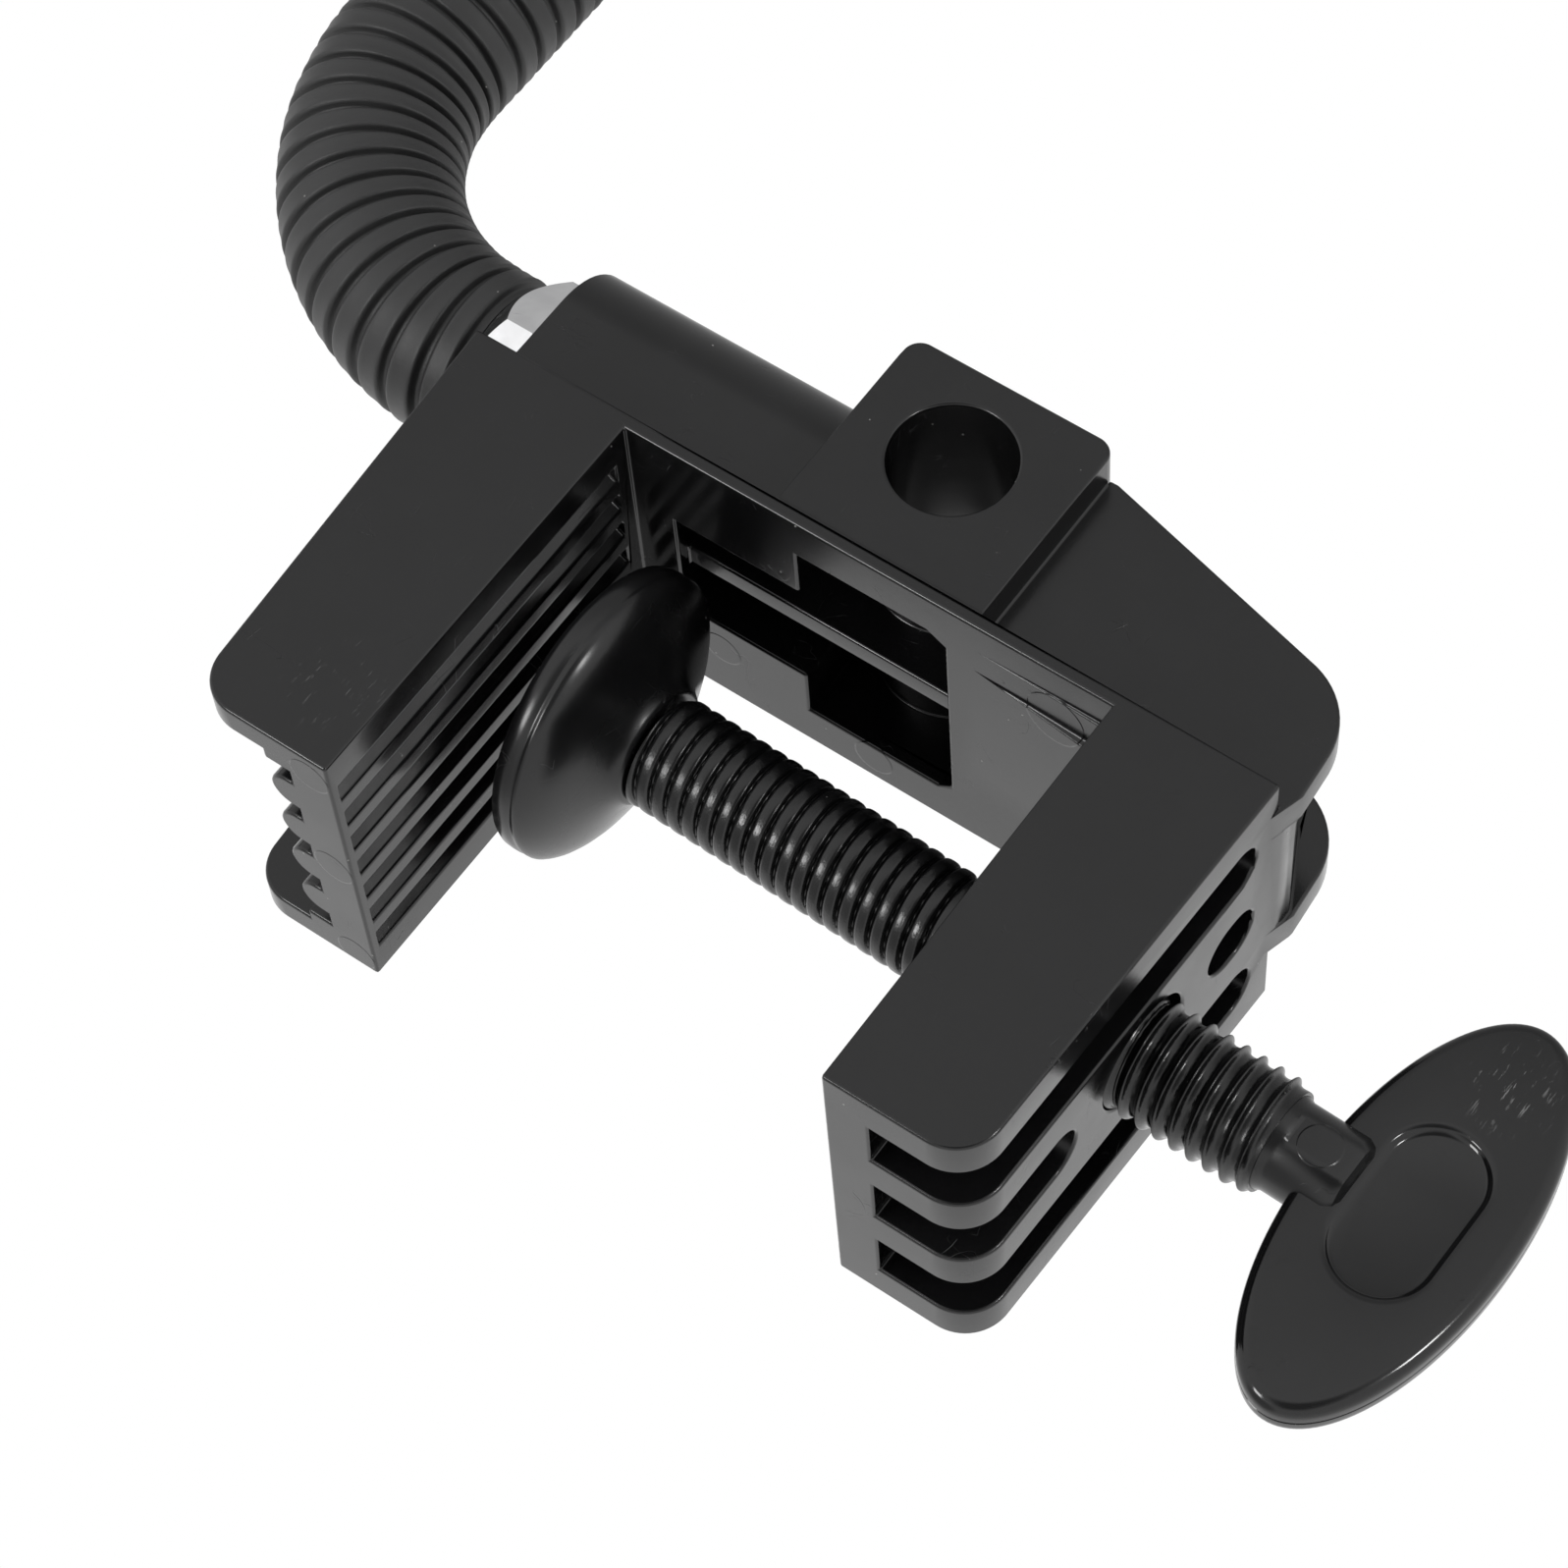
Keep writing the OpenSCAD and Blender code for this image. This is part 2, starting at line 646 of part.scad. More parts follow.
// Knuckle: round socket on the neck's end with a fork for the tongue
module head_knuckle() {
    base = nut_t + 0.4;
    r = fork_w / 2;
    color(plastic) difference() {
        union() {
            at_head() translate([0, 0, base]) {
                cylinder(r = r, h = knuckle_h - 2);
                translate([0, 0, knuckle_h - 2]) cylinder(r1 = r, r2 = r - 2, h = 2);
            }
            at_head() translate([0, 0, base + knuckle_h - 1])
                intersection() {
                    translate([-r, -ear_r, 0]) cube([fork_w, 2 * ear_r, ear_r + 3.5]);
                    cylinder(r = r, h = ear_r + 3.5);
                }
            at_head() translate([0, 0, pivot_up]) rotate([0, 90, 0])
                cylinder(r = ear_r, h = fork_w - 4, center = true);
        }
        at_head() translate([-fork_gap / 2, -fork_w, base + knuckle_h])
            cube([fork_gap, 2 * fork_w, 4 * ear_r]);
        at_head() cylinder(d = stud_dia + 2 * run_gap, h = base + knuckle_h - 1.5);
        translate(pivot) rotate([0, 90, 0]) cylinder(d = pivot_dia + 2 * run_gap, h = 60, center = true);
        translate(pivot) rotate([0, -90, 0]) translate([0, 0, fork_w / 2 - 5])
            cylinder(d = 11.8, h = 8, $fn = 6);
        translate(pivot) rotate([0, 90, 0]) translate([0, 0, fork_w / 2 - 2]) cylinder(r = 7.6, h = 6);
    }
}

module pivot_bolt() {
    head_t = 3;
    color(steel) translate(pivot) rotate([0, 90, 0]) {
        translate([0, 0, -fork_w / 2 + 2]) cylinder(d = pivot_dia, h = fork_w + 5.5);
        translate([0, 0, -fork_w / 2 + 5 - head_t]) cylinder(d = 11.5, h = head_t, $fn = 6);
    }
}

// Lobed hand knob on the pivot bolt
module tilt_knob() {
    lobes = 6;
    r = 11;
    color(plastic) translate(pivot) rotate([0, 90, 0]) translate([0, 0, fork_w / 2 - 1.7]) difference() {
        union() {
            cylinder(r = 7, h = 3 + eps);
            translate([0, 0, 3]) cylinder(r = r, h = 8);
            translate([0, 0, 11]) cylinder(r1 = r, r2 = r - 1.5, h = 1.5);
        }
        for (i = [0 : lobes - 1]) rotate([0, 0, i * 360 / lobes]) translate([r + 1.6, 0, 3])
            cylinder(r = 3.4, h = 12);
        translate([0, 0, -1]) cylinder(r = 4.6, h = 10.5);
    }
}

module knob_insert() {
    color("goldenrod") translate(pivot) rotate([0, 90, 0]) translate([0, 0, fork_w / 2 - 1.7])
        difference() {
            cylinder(r = 4.6, h = 9.5);
            translate([0, 0, -1]) cylinder(d = pivot_dia + 2 * run_gap, h = 12);
        }
}

// Crossbar with the tongue in its middle and a round seat for a cradle at each end
module cradle_bar() {
    seat_r = bar_w / 2 + 1.5;
    color(plastic) difference() {
        union() {
            translate(bar_c - [cradle_span / 2, bar_w / 2, bar_t / 2]) cube([cradle_span, bar_w, bar_t]);
            for (side = [-1, 1]) translate(bar_c + [side * cradle_span / 2, 0, -bar_t / 2])
                cylinder(r = seat_r, h = bar_t);
            across(-tongue_t / 2, tongue_t / 2) translate([pivot[1], pivot[2]]) {
                circle(ear_r);
                rotate(-bar_tilt) translate([-ear_r + 2, 0]) square([2 * ear_r - 4, bar_reach]);
            }
            for (side = [-1, 1]) translate([0, 0, bar_c[2] - bar_t / 2])
                backwards(bar_c[1] - 4, bar_c[1]) polygon([
                    [side * (tongue_t / 2 - 1), 1], [side * (tongue_t / 2 + 9), 1],
                    [side * (tongue_t / 2 + 9), -0.5], [side * (tongue_t / 2 - 1), -9]
                ]);
        }
        translate(pivot) rotate([0, 90, 0])
            cylinder(d = pivot_dia + 2 * run_gap, h = tongue_t + 2, center = true);
        for (side = [-1, 1]) translate(bar_c + [side * cradle_span / 2, 0, -bar_t]) {
            cylinder(d = swivel_dia + 2 * run_gap, h = 2 * bar_t);
            cylinder(d = 8.2, h = bar_t / 2 + 3.4, $fn = 6);
        }
    }
}

// Half of a cup's tapered bore at height z, from its bottom to its mouth
function cup_bore_r(z) = cup_dia / 2 - cup_wall - 2.2 * (1 - z / cup_h);

// Open-fronted cup on an arm that swivels on the crossbar's end
module cradle(side) {
    lug_r = bar_w / 2 + 1.5;
    color(plastic) translate([side * cradle_span / 2, bar_c[1], cradle_z + 0.1]) difference() {
        union() {
            cylinder(r = lug_r, h = lug_t);
            translate([-5, 0, 0]) cube([10, cup_reach, lug_t]);
            translate([-2, lug_r - 2, lug_t - eps]) cube([4, cup_reach - cup_dia / 2 - lug_r + 3, 4]);
            translate([0, cup_reach, -cup_h + lug_t + 4]) cylinder(d = cup_dia, h = cup_h);
        }
        translate([0, 0, -eps]) cylinder(d = swivel_dia + 2 * run_gap, h = lug_t + 1);
        translate([0, cup_reach, -cup_h + lug_t + 4]) {
            translate([0, 0, -eps]) cylinder(r1 = cup_bore_r(0), r2 = cup_bore_r(cup_h), h = cup_h + 2 * eps);
            translate([-cup_slot / 2, 0, -1]) cube([cup_slot, cup_dia, cup_h + 2]);
        }
    }
}

// Rubber liner of a cup, with a lip over the cup's rim
module liner(side) {
    lip = 1.4;
    cup_bottom = cradle_z + 0.1 - cup_h + lug_t + 4;
    color(rubber) translate([side * cradle_span / 2, bar_c[1] + cup_reach, cup_bottom])
        difference() {
            union() {
                cylinder(r1 = cup_bore_r(0) - liner_gap, r2 = cup_bore_r(cup_h) - liner_gap, h = cup_h);
                translate([0, 0, cup_h]) cylinder(r = cup_dia / 2 - 0.6, h = lip);
            }
            translate([0, 0, -eps]) cylinder(r1 = cup_bore_r(0) - liner_t, r2 = cup_bore_r(cup_h) - liner_t,
                                             h = cup_h + 2 * eps);
            translate([0, 0, cup_h]) cylinder(r = cup_bore_r(cup_h) - liner_t, h = 2 * lip);
            translate([-cup_slot / 2 - 0.4, 0, -1]) cube([cup_slot + 0.8, cup_dia, cup_h + 4]);
        }
}

module swivel_screw(side) {
    color(steel) translate([side * cradle_span / 2, bar_c[1], bar_c[2] - bar_t / 2 + 0.4]) {
        cylinder(d = swivel_dia, h = bar_t + lug_t);
        translate([0, 0, bar_t + lug_t - 0.3]) difference() {
            cylinder(r1 = 4, r2 = 3, h = 2.2);
            translate([0, 0, 1]) cylinder(d = 2.6, h = 2, $fn = 6);
        }
    }
}

module swivel_nut(side) {
    color(steel) translate([side * cradle_span / 2, bar_c[1], bar_c[2] - bar_t / 2])
        nut(7, 3.2, swivel_dia + 2 * run_gap);
}

clamp_frame();
clamp_screw();
pressure_pad();
lower_stud();
lower_nut();
sleeve_stretch(1);  // neck_sleeve_1
sleeve_stretch(2);  // neck_sleeve_2
sleeve_stretch(3);  // neck_sleeve_3
sleeve_stretch(4);  // neck_sleeve_4
sleeve_stretch(5);  // neck_sleeve_5
sleeve_stretch(6);  // neck_sleeve_6
sleeve_stretch(7);  // neck_sleeve_7
sleeve_stretch(8);  // neck_sleeve_8
sleeve_stretch(9);  // neck_sleeve_9
sleeve_stretch(10);  // neck_sleeve_10
sleeve_stretch(11);  // neck_sleeve_11
sleeve_stretch(12);  // neck_sleeve_12
sleeve_stretch(13);  // neck_sleeve_13
core_stretch(1);  // neck_core_1
core_stretch(2);  // neck_core_2
core_stretch(3);  // neck_core_3
core_stretch(4);  // neck_core_4
core_stretch(5);  // neck_core_5
core_stretch(6);  // neck_core_6
core_stretch(7);  // neck_core_7
core_stretch(8);  // neck_core_8
core_stretch(9);  // neck_core_9
core_stretch(10);  // neck_core_10
core_stretch(11);  // neck_core_11
core_stretch(12);  // neck_core_12
core_stretch(13);  // neck_core_13
upper_stud();
upper_nut();
head_knuckle();
pivot_bolt();
tilt_knob();
knob_insert();
cradle_bar();
cradle(-1);  // cradle_left
cradle(1);  // cradle_right
liner(-1);  // liner_left
liner(1);  // liner_right
swivel_screw(-1);  // swivel_screw_left
swivel_screw(1);  // swivel_screw_right
swivel_nut(-1);  // swivel_nut_left
swivel_nut(1);  // swivel_nut_right
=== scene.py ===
"""Looks for the clamp-on airbrush holder stand: its mouldings, screw, ribbed neck and cradle head."""
from __future__ import annotations

import json
import logging
import math
from dataclasses import dataclass, field
from enum import Enum
from typing import Callable, Iterable, Sequence

import bmesh
import bpy
import numpy as np
from mathutils import Matrix, Vector
from mathutils.bvhtree import BVHTree
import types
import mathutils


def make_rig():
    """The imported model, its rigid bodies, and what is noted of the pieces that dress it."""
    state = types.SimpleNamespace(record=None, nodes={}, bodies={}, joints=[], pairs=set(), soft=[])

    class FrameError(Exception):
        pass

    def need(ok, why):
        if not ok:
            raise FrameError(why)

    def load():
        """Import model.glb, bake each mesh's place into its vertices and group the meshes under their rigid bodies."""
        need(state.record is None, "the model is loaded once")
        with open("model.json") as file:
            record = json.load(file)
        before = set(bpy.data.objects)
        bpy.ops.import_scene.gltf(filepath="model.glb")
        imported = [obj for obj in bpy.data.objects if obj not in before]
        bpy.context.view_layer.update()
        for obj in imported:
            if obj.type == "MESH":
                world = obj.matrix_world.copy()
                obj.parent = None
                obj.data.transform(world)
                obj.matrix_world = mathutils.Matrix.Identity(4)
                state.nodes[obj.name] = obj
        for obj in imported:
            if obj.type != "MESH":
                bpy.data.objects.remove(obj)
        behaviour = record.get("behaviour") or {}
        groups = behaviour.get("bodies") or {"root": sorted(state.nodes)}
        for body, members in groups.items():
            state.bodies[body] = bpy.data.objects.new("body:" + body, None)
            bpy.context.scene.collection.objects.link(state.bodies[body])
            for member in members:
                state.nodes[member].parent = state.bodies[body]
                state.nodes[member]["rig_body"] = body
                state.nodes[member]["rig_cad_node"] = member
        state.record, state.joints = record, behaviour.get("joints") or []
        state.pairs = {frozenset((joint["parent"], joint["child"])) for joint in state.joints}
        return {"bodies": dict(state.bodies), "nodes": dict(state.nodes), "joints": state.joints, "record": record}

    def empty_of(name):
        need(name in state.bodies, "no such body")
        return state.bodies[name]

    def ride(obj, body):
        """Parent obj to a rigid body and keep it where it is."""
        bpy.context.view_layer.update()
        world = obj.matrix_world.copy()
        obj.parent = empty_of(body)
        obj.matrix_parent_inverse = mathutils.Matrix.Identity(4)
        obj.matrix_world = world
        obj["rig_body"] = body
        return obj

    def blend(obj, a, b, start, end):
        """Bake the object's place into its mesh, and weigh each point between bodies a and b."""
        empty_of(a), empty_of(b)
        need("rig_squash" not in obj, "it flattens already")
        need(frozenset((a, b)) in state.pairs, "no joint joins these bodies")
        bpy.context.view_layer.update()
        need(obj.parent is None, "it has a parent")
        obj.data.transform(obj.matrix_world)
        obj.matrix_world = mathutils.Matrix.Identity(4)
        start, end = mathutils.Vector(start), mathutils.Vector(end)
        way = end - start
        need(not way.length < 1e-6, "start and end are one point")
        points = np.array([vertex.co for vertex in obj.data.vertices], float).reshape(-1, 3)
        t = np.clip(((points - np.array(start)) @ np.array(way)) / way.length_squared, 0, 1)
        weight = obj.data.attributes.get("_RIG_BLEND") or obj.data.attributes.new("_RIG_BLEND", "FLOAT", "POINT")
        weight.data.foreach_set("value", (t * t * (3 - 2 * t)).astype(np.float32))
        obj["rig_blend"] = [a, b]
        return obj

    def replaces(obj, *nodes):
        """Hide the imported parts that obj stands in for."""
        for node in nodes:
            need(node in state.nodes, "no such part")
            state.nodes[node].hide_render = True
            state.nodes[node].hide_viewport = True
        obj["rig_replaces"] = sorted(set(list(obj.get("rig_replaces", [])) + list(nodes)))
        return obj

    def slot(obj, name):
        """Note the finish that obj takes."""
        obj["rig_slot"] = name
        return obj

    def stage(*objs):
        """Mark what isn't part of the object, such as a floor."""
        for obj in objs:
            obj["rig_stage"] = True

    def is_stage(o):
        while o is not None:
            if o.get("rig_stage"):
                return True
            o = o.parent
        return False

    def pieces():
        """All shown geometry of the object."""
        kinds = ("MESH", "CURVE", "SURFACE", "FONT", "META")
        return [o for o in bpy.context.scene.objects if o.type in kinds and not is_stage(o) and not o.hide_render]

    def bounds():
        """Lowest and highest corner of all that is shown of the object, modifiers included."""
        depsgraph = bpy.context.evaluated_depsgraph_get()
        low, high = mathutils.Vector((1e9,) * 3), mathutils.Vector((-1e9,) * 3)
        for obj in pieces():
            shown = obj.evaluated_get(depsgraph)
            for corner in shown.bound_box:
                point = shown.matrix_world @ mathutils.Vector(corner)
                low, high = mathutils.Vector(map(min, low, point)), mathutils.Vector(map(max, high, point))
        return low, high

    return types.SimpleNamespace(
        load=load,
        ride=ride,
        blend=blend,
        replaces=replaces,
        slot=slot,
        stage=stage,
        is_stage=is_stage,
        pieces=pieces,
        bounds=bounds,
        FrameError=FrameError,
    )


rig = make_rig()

log = logging.getLogger("airbrush_stand")
MM = 0.001
TINY = 1e-9
SAME_PLACE = 1e-6
MOULDING_SHARP = 30.0
HARDWARE_SHARP = 28.0
Point = tuple[float, float, float]
Ring = list[Vector]


class Side(Enum):
    """The two ends of the crossbar, by the sign of their X."""

    LEFT = -1
    RIGHT = 1


class ThreadForm(Enum):
    """The two forms of the moulded thread: round lobes in the mouth, lips below the arm."""

    LOBED = ((0.0, 0.5), (0.035, 0.44), (0.065, 0.08), (0.09, 0.06),
             (0.13, 0.6), (0.19, 0.83), (0.3, 0.96), (0.5, 1.0))
    LIPPED = ((0.0, 0.0), (0.12, 0.03), (0.24, 0.14), (0.33, 0.34),
              (0.4, 0.66), (0.45, 0.92), (0.48, 0.99), (0.5, 1.0))


# ---------------------------------------------------------------- mesh helpers


@dataclass
class Shell:
    """Collects rings of points and joins them into one mesh, in the row frame."""

    name: str
    verts: list[Vector] = field(default_factory=list)
    faces: list[tuple[int, ...]] = field(default_factory=list)

    def ring(self, points: Iterable[Vector]) -> list[int]:
        """Adds the points of one ring.

        Args:
            points: The ring's points in order.

        Returns:
            The index of each point.
        """
        start = len(self.verts)
        self.verts.extend(points)
        return list(range(start, len(self.verts)))

    def bridge(self, first: Sequence[int], second: Sequence[int]) -> None:
        """Joins two closed rings of the same length with quads.

        Args:
            first: Indices of the ring that comes first along the surface.
            second: Indices of the next ring.
        """
        n = len(first)
        for i in range(n):
            j = (i + 1) % n
            self.faces.append((first[i], first[j], second[j], second[i]))

    def cap(self, ring: Sequence[int], flip: bool = False) -> None:
        """Closes a ring with one flat face.

        Args:
            ring: Indices of the ring.
            flip: True turns the face over.
        """
        self.faces.append(tuple(reversed(ring)) if flip else tuple(ring))

    def build(self, sharp: float = 35.0) -> bpy.types.Object:
        """Makes the object, shaded smooth except over edges sharper than an angle.

        Args:
            sharp: That angle in degrees.

        Returns:
            The new object, linked to the scene.
        """
        mesh = bpy.data.meshes.new(self.name)
        mesh.from_pydata([tuple(v) for v in self.verts], [], self.faces)
        bm = bmesh.new()
        bm.from_mesh(mesh)
        bmesh.ops.recalc_face_normals(bm, faces=bm.faces)
        bm.to_mesh(mesh)
        bm.free()
        obj = bpy.data.objects.new(self.name, mesh)
        bpy.context.scene.collection.objects.link(obj)
        shade(obj, sharp)
        return obj


def shade(obj: bpy.types.Object, sharp: float = 35.0) -> None:
    """Shades an object smooth and marks its sharp edges.

    Args:
        obj: The object.
        sharp: Edges with a greater angle than this, in degrees, stay sharp.
    """
    for face in obj.data.polygons:
        face.use_smooth = True
    obj.data.set_sharp_from_angle(angle=math.radians(sharp))


def circle(centre: Vector, x_axis: Vector, y_axis: Vector, radius: float, n: int) -> Ring:
    """Points of a circle.

    Args:
        centre: Its centre.
        x_axis: Unit vector towards its first point.
        y_axis: Unit vector a quarter turn further.
        radius: Its radius in metres.
        n: Number of points.

    Returns:
        The points in order.
    """
    turns = [2 * math.pi * i / n for i in range(n)]
    return [centre + radius * (math.cos(a) * x_axis + math.sin(a) * y_axis) for a in turns]


def lathe(name: str, profile: Sequence[tuple[float, float]], centre: Vector, axis: Vector,
          n: int = 96, sharp: float = 35.0) -> bpy.types.Object:
    """Turns a profile about an axis into a closed body.

    Args:
        name: Name of the object.
        profile: (radius, height) pairs in millimetres, from one end to the other.
        centre: Where height 0 lies.
        axis: Unit vector of the axis.
        n: Number of facets round the axis.
        sharp: Edges sharper than this, in degrees, stay sharp.

    Returns:
        The turned object.
    """
    side = axis.orthogonal().normalized()
    other = axis.cross(side)
    shell = Shell(name)
    rings = [shell.ring(circle(centre + axis * h * MM, side, other, max(r, 0.001) * MM, n))
             for r, h in profile]
    for a, b in zip(rings, rings[1:]):
        shell.bridge(a, b)
    shell.cap(rings[0], flip=True)
    shell.cap(rings[-1])
    return shell.build(sharp)


def linked_copy(source: bpy.types.Object, name: str) -> bpy.types.Object:
    """Copies an object with its mesh and links the copy to the scene.

    Args:
        source: The object to copy.
        name: Name of the copy and of its mesh.

    Returns:
        The copy.
    """
    mesh = source.data.copy()
    mesh.name = name
    obj = bpy.data.objects.new(name, mesh)
    bpy.context.scene.collection.objects.link(obj)
    return obj


def applied(obj: bpy.types.Object) -> None:
    """Turns an object's modifiers into its mesh.

    Args:
        obj: The object.
    """
    graph = bpy.context.evaluated_depsgraph_get()
    finished = bpy.data.meshes.new_from_object(obj.evaluated_get(graph))
    obj.modifiers.clear()
    obj.data = finished


@dataclass(frozen=True)
class EdgeRounding:
    """How the mould rounds a piece's sharp edges."""

    width_mm: float = 0.35
    segments: int = 2
    sharp_deg: float = 32.0
    smooth_deg: float = 42.0
    flat_deg: float = 0.6
    merge_m: float = 6e-5
    sliver_m: float = 1e-5
    room_share: float = 0.45
    least_share: float = 0.12
    least_corner: float = 0.05
    flat_weight: int = 80

    def rounded(self, edge: bmesh.types.BMEdge) -> bool:
        """Whether an edge is sharp enough to be rounded."""
        return edge.is_manifold and edge.calc_face_angle(0.0) > math.radians(self.sharp_deg)

    def room(self, edge: bmesh.types.BMEdge) -> float:
        """How wide an edge's rounding can be before it runs into the edges beside it.

        Args:
            edge: The edge.

        Returns:
            The width in metres, or 0 where the edge isn't rounded.
        """
        if not self.rounded(edge):
            return 0.0
        room = 1.0
        for loop in (side for face_loop in edge.link_loops for side in (face_loop, face_loop.link_loop_next)):
            here = loop.vert
            before, after = loop.link_loop_prev.edge, loop.edge
            beside = before if after is edge else after
            one = edge.other_vert(here).co - here.co
            two = beside.other_vert(here).co - here.co
            if one.length < TINY or two.length < TINY:
                return 0.0
            corner = one.angle(two)
            if self.rounded(beside):
                share = 1.0 / math.tan(max(self.least_corner, corner / 2)) if loop.is_convex else 0.0
                if share > self.least_share:
                    room = min(room, self.room_share * min(one.length, two.length) / share)
            else:
                room = min(room, self.room_share * two.length * math.sin(corner))
        return room

    def applied_to(self, node: str, name: str) -> bpy.types.Object:
        """Copies a CAD node and rounds its sharp edges.

        Args:
            node: The CAD node that the copy stands for.
            name: Name of the copy.

        Returns:
            The rounded copy, which replaces the node.
        """
        width = self.width_mm * MM
        source = bpy.data.objects[node]
        obj = linked_copy(source, name)
        mesh = obj.data
        bm = bmesh.new()
        bm.from_mesh(mesh)
        bmesh.ops.remove_doubles(bm, verts=bm.verts, dist=self.merge_m)
        bmesh.ops.dissolve_degenerate(bm, edges=bm.edges, dist=self.sliver_m)
        bmesh.ops.dissolve_limit(bm, angle_limit=math.radians(self.flat_deg), verts=bm.verts, edges=bm.edges)
        weights = bm.edges.layers.float.new("bevel_weight_edge")
        for edge in bm.edges:
            edge[weights] = min(1.0, self.room(edge) / width)
        bm.to_mesh(mesh)
        bm.free()
        for face in mesh.polygons:
            face.use_smooth = True
        bevel = obj.modifiers.new("edge rounding", "BEVEL")
        bevel.width = width
        bevel.segments = self.segments
        bevel.limit_method = "WEIGHT"
        bevel.use_clamp_overlap = False
        applied(obj)
        axes = list(zip(*(v.co for v in source.data.vertices)))
        low, high = (Vector(limit(axis) for axis in axes) for limit in (min, max))
        for vert in obj.data.vertices:
            vert.co = Vector(min(max(v, a), b) for v, a, b in zip(vert.co, low, high))
        shade(obj, self.smooth_deg)
        normals = obj.modifiers.new("flat faces stay flat", "WEIGHTED_NORMAL")
        normals.mode, normals.weight, normals.keep_sharp = "FACE_AREA", self.flat_weight, True
        applied(obj)
        return obj


def plain_copy(node: str, name: str) -> bpy.types.Object:
    """Copies a CAD node as it is, with its doubled vertices joined so that round faces shade smoothly.

    Args:
        node: The CAD node that the copy stands for.
        name: Name of the copy.

    Returns:
        The copy, which replaces the node.
    """
    obj = linked_copy(bpy.data.objects[node], name)
    bm = bmesh.new()
    bm.from_mesh(obj.data)
    bmesh.ops.remove_doubles(bm, verts=bm.verts, dist=SAME_PLACE)
    bm.to_mesh(obj.data)
    bm.free()
    shade(obj, MOULDING_SHARP)
    return obj


# ---------------------------------------------------------------- materials


class Graph:
    """A small helper for wiring the nodes of one tree."""

    def __init__(self, tree: bpy.types.NodeTree) -> None:
        """Keeps the tree.

        Args:
            tree: The node tree to add to.
        """
        self.tree = tree

    def add(self, kind: str, **settings: object) -> bpy.types.Node:
        """Adds a node.

        Args:
            kind: Its type name without the ShaderNode prefix.
            **settings: Attributes to set on it.

        Returns:
            The node.
        """
        node = self.tree.nodes.new(kind if kind.startswith("NodeGroup") else "ShaderNode" + kind)
        for key, value in settings.items():
            setattr(node, key, value)
        return node

    def link(self, source: bpy.types.NodeSocket, target: bpy.types.NodeSocket) -> None:
        """Joins an output to an input."""
        self.tree.links.new(source, target)

    def value(self, socket: bpy.types.NodeSocket, what: object) -> None:
        """Sets an input, from a number, a vector or another node's output.

        Args:
            socket: The input.
            what: The number, tuple or output socket.
        """
        if isinstance(what, bpy.types.NodeSocket):
            self.link(what, socket)
        elif what is not None:
            socket.default_value = what

    def maths(self, operation: str, a: object, b: object = None, c: object = None) -> bpy.types.NodeSocket:
        """Adds a Math node.

        Args:
            operation: Its operation.
            a: First operand.
            b: Second operand.
            c: Third operand.

        Returns:
            Its output.
        """
        node = self.add("Math", operation=operation)
        for socket, what in zip(node.inputs, (a, b, c)):
            self.value(socket, what)
        return node.outputs[0]

    def vector(self, operation: str, a: object, b: object = None) -> bpy.types.Node:
        """Adds a Vector Math node.

        Args:
            operation: Its operation.
            a: First operand.
            b: Second operand.

        Returns:
            The node.
        """
        node = self.add("VectorMath", operation=operation)
        self.value(node.inputs[0], a)
        if b is not None:
            self.value(node.inputs["Scale"] if operation == "SCALE" else node.inputs[1], b)
        return node

    def band(self, what: object, low: float, high: float, out_low: float = 0.0,
             out_high: float = 1.0) -> bpy.types.NodeSocket:
        """Maps a range smoothly onto another one.

        Args:
            what: The value to map.
            low: Start of its range.
            high: End of its range.
            out_low: Result at the start.
            out_high: Result at the end.

        Returns:
            The mapped value.
        """
        node = self.add("MapRange", interpolation_type="SMOOTHSTEP")
        for socket, value in zip(node.inputs, (what, low, high, out_low, out_high)):
            self.value(socket, value)
        return node.outputs[0]

    def filled(self, node: bpy.types.Node, **inputs: object) -> bpy.types.Node:
        """Sets several inputs of a node by their names.

        Args:
            node: The node.
            **inputs: Numbers, tuples or output sockets; None leaves an input as it is.

        Returns:
            The node.
        """
        for label, what in inputs.items():
            self.value(node.inputs[label], what)
        return node

    def noise(self, place: bpy.types.NodeSocket, scale: float, detail: float | None = None,
              roughness: float | None = None) -> bpy.types.NodeSocket:
        """Adds a noise texture.

        Args:
            place: Where it is read, in millimetres.
            scale: Its grains in a millimetre.
            detail: Its detail, if not the usual one.
            roughness: Its roughness, if not the usual one.

        Returns:
            Its value.
        """
        return self.filled(self.add("TexNoise"), Vector=place, Scale=scale,
                           Detail=detail, Roughness=roughness).outputs[0]

    def stretched(self, place: bpy.types.NodeSocket, turn: Point, stretch: Point) -> bpy.types.NodeSocket:
        """Turns and stretches a place, so that what is read there runs in streaks.

        Args:
            place: The place.
            turn: Rotation in radians.
            stretch: Scale along each axis.

        Returns:
            The new place.
        """
        return self.filled(self.add("Mapping"), Vector=place, Rotation=turn, Scale=stretch).outputs[0]

    def group(self, tree: bpy.types.NodeTree, **inputs: object) -> bpy.types.Node:
        """Places a node group.

        Args:
            tree: The group.
            **inputs: Its inputs by name.

        Returns:
            The group's node.
        """
        node = self.add("Group")
        node.node_tree = tree
        return self.filled(node, **inputs)


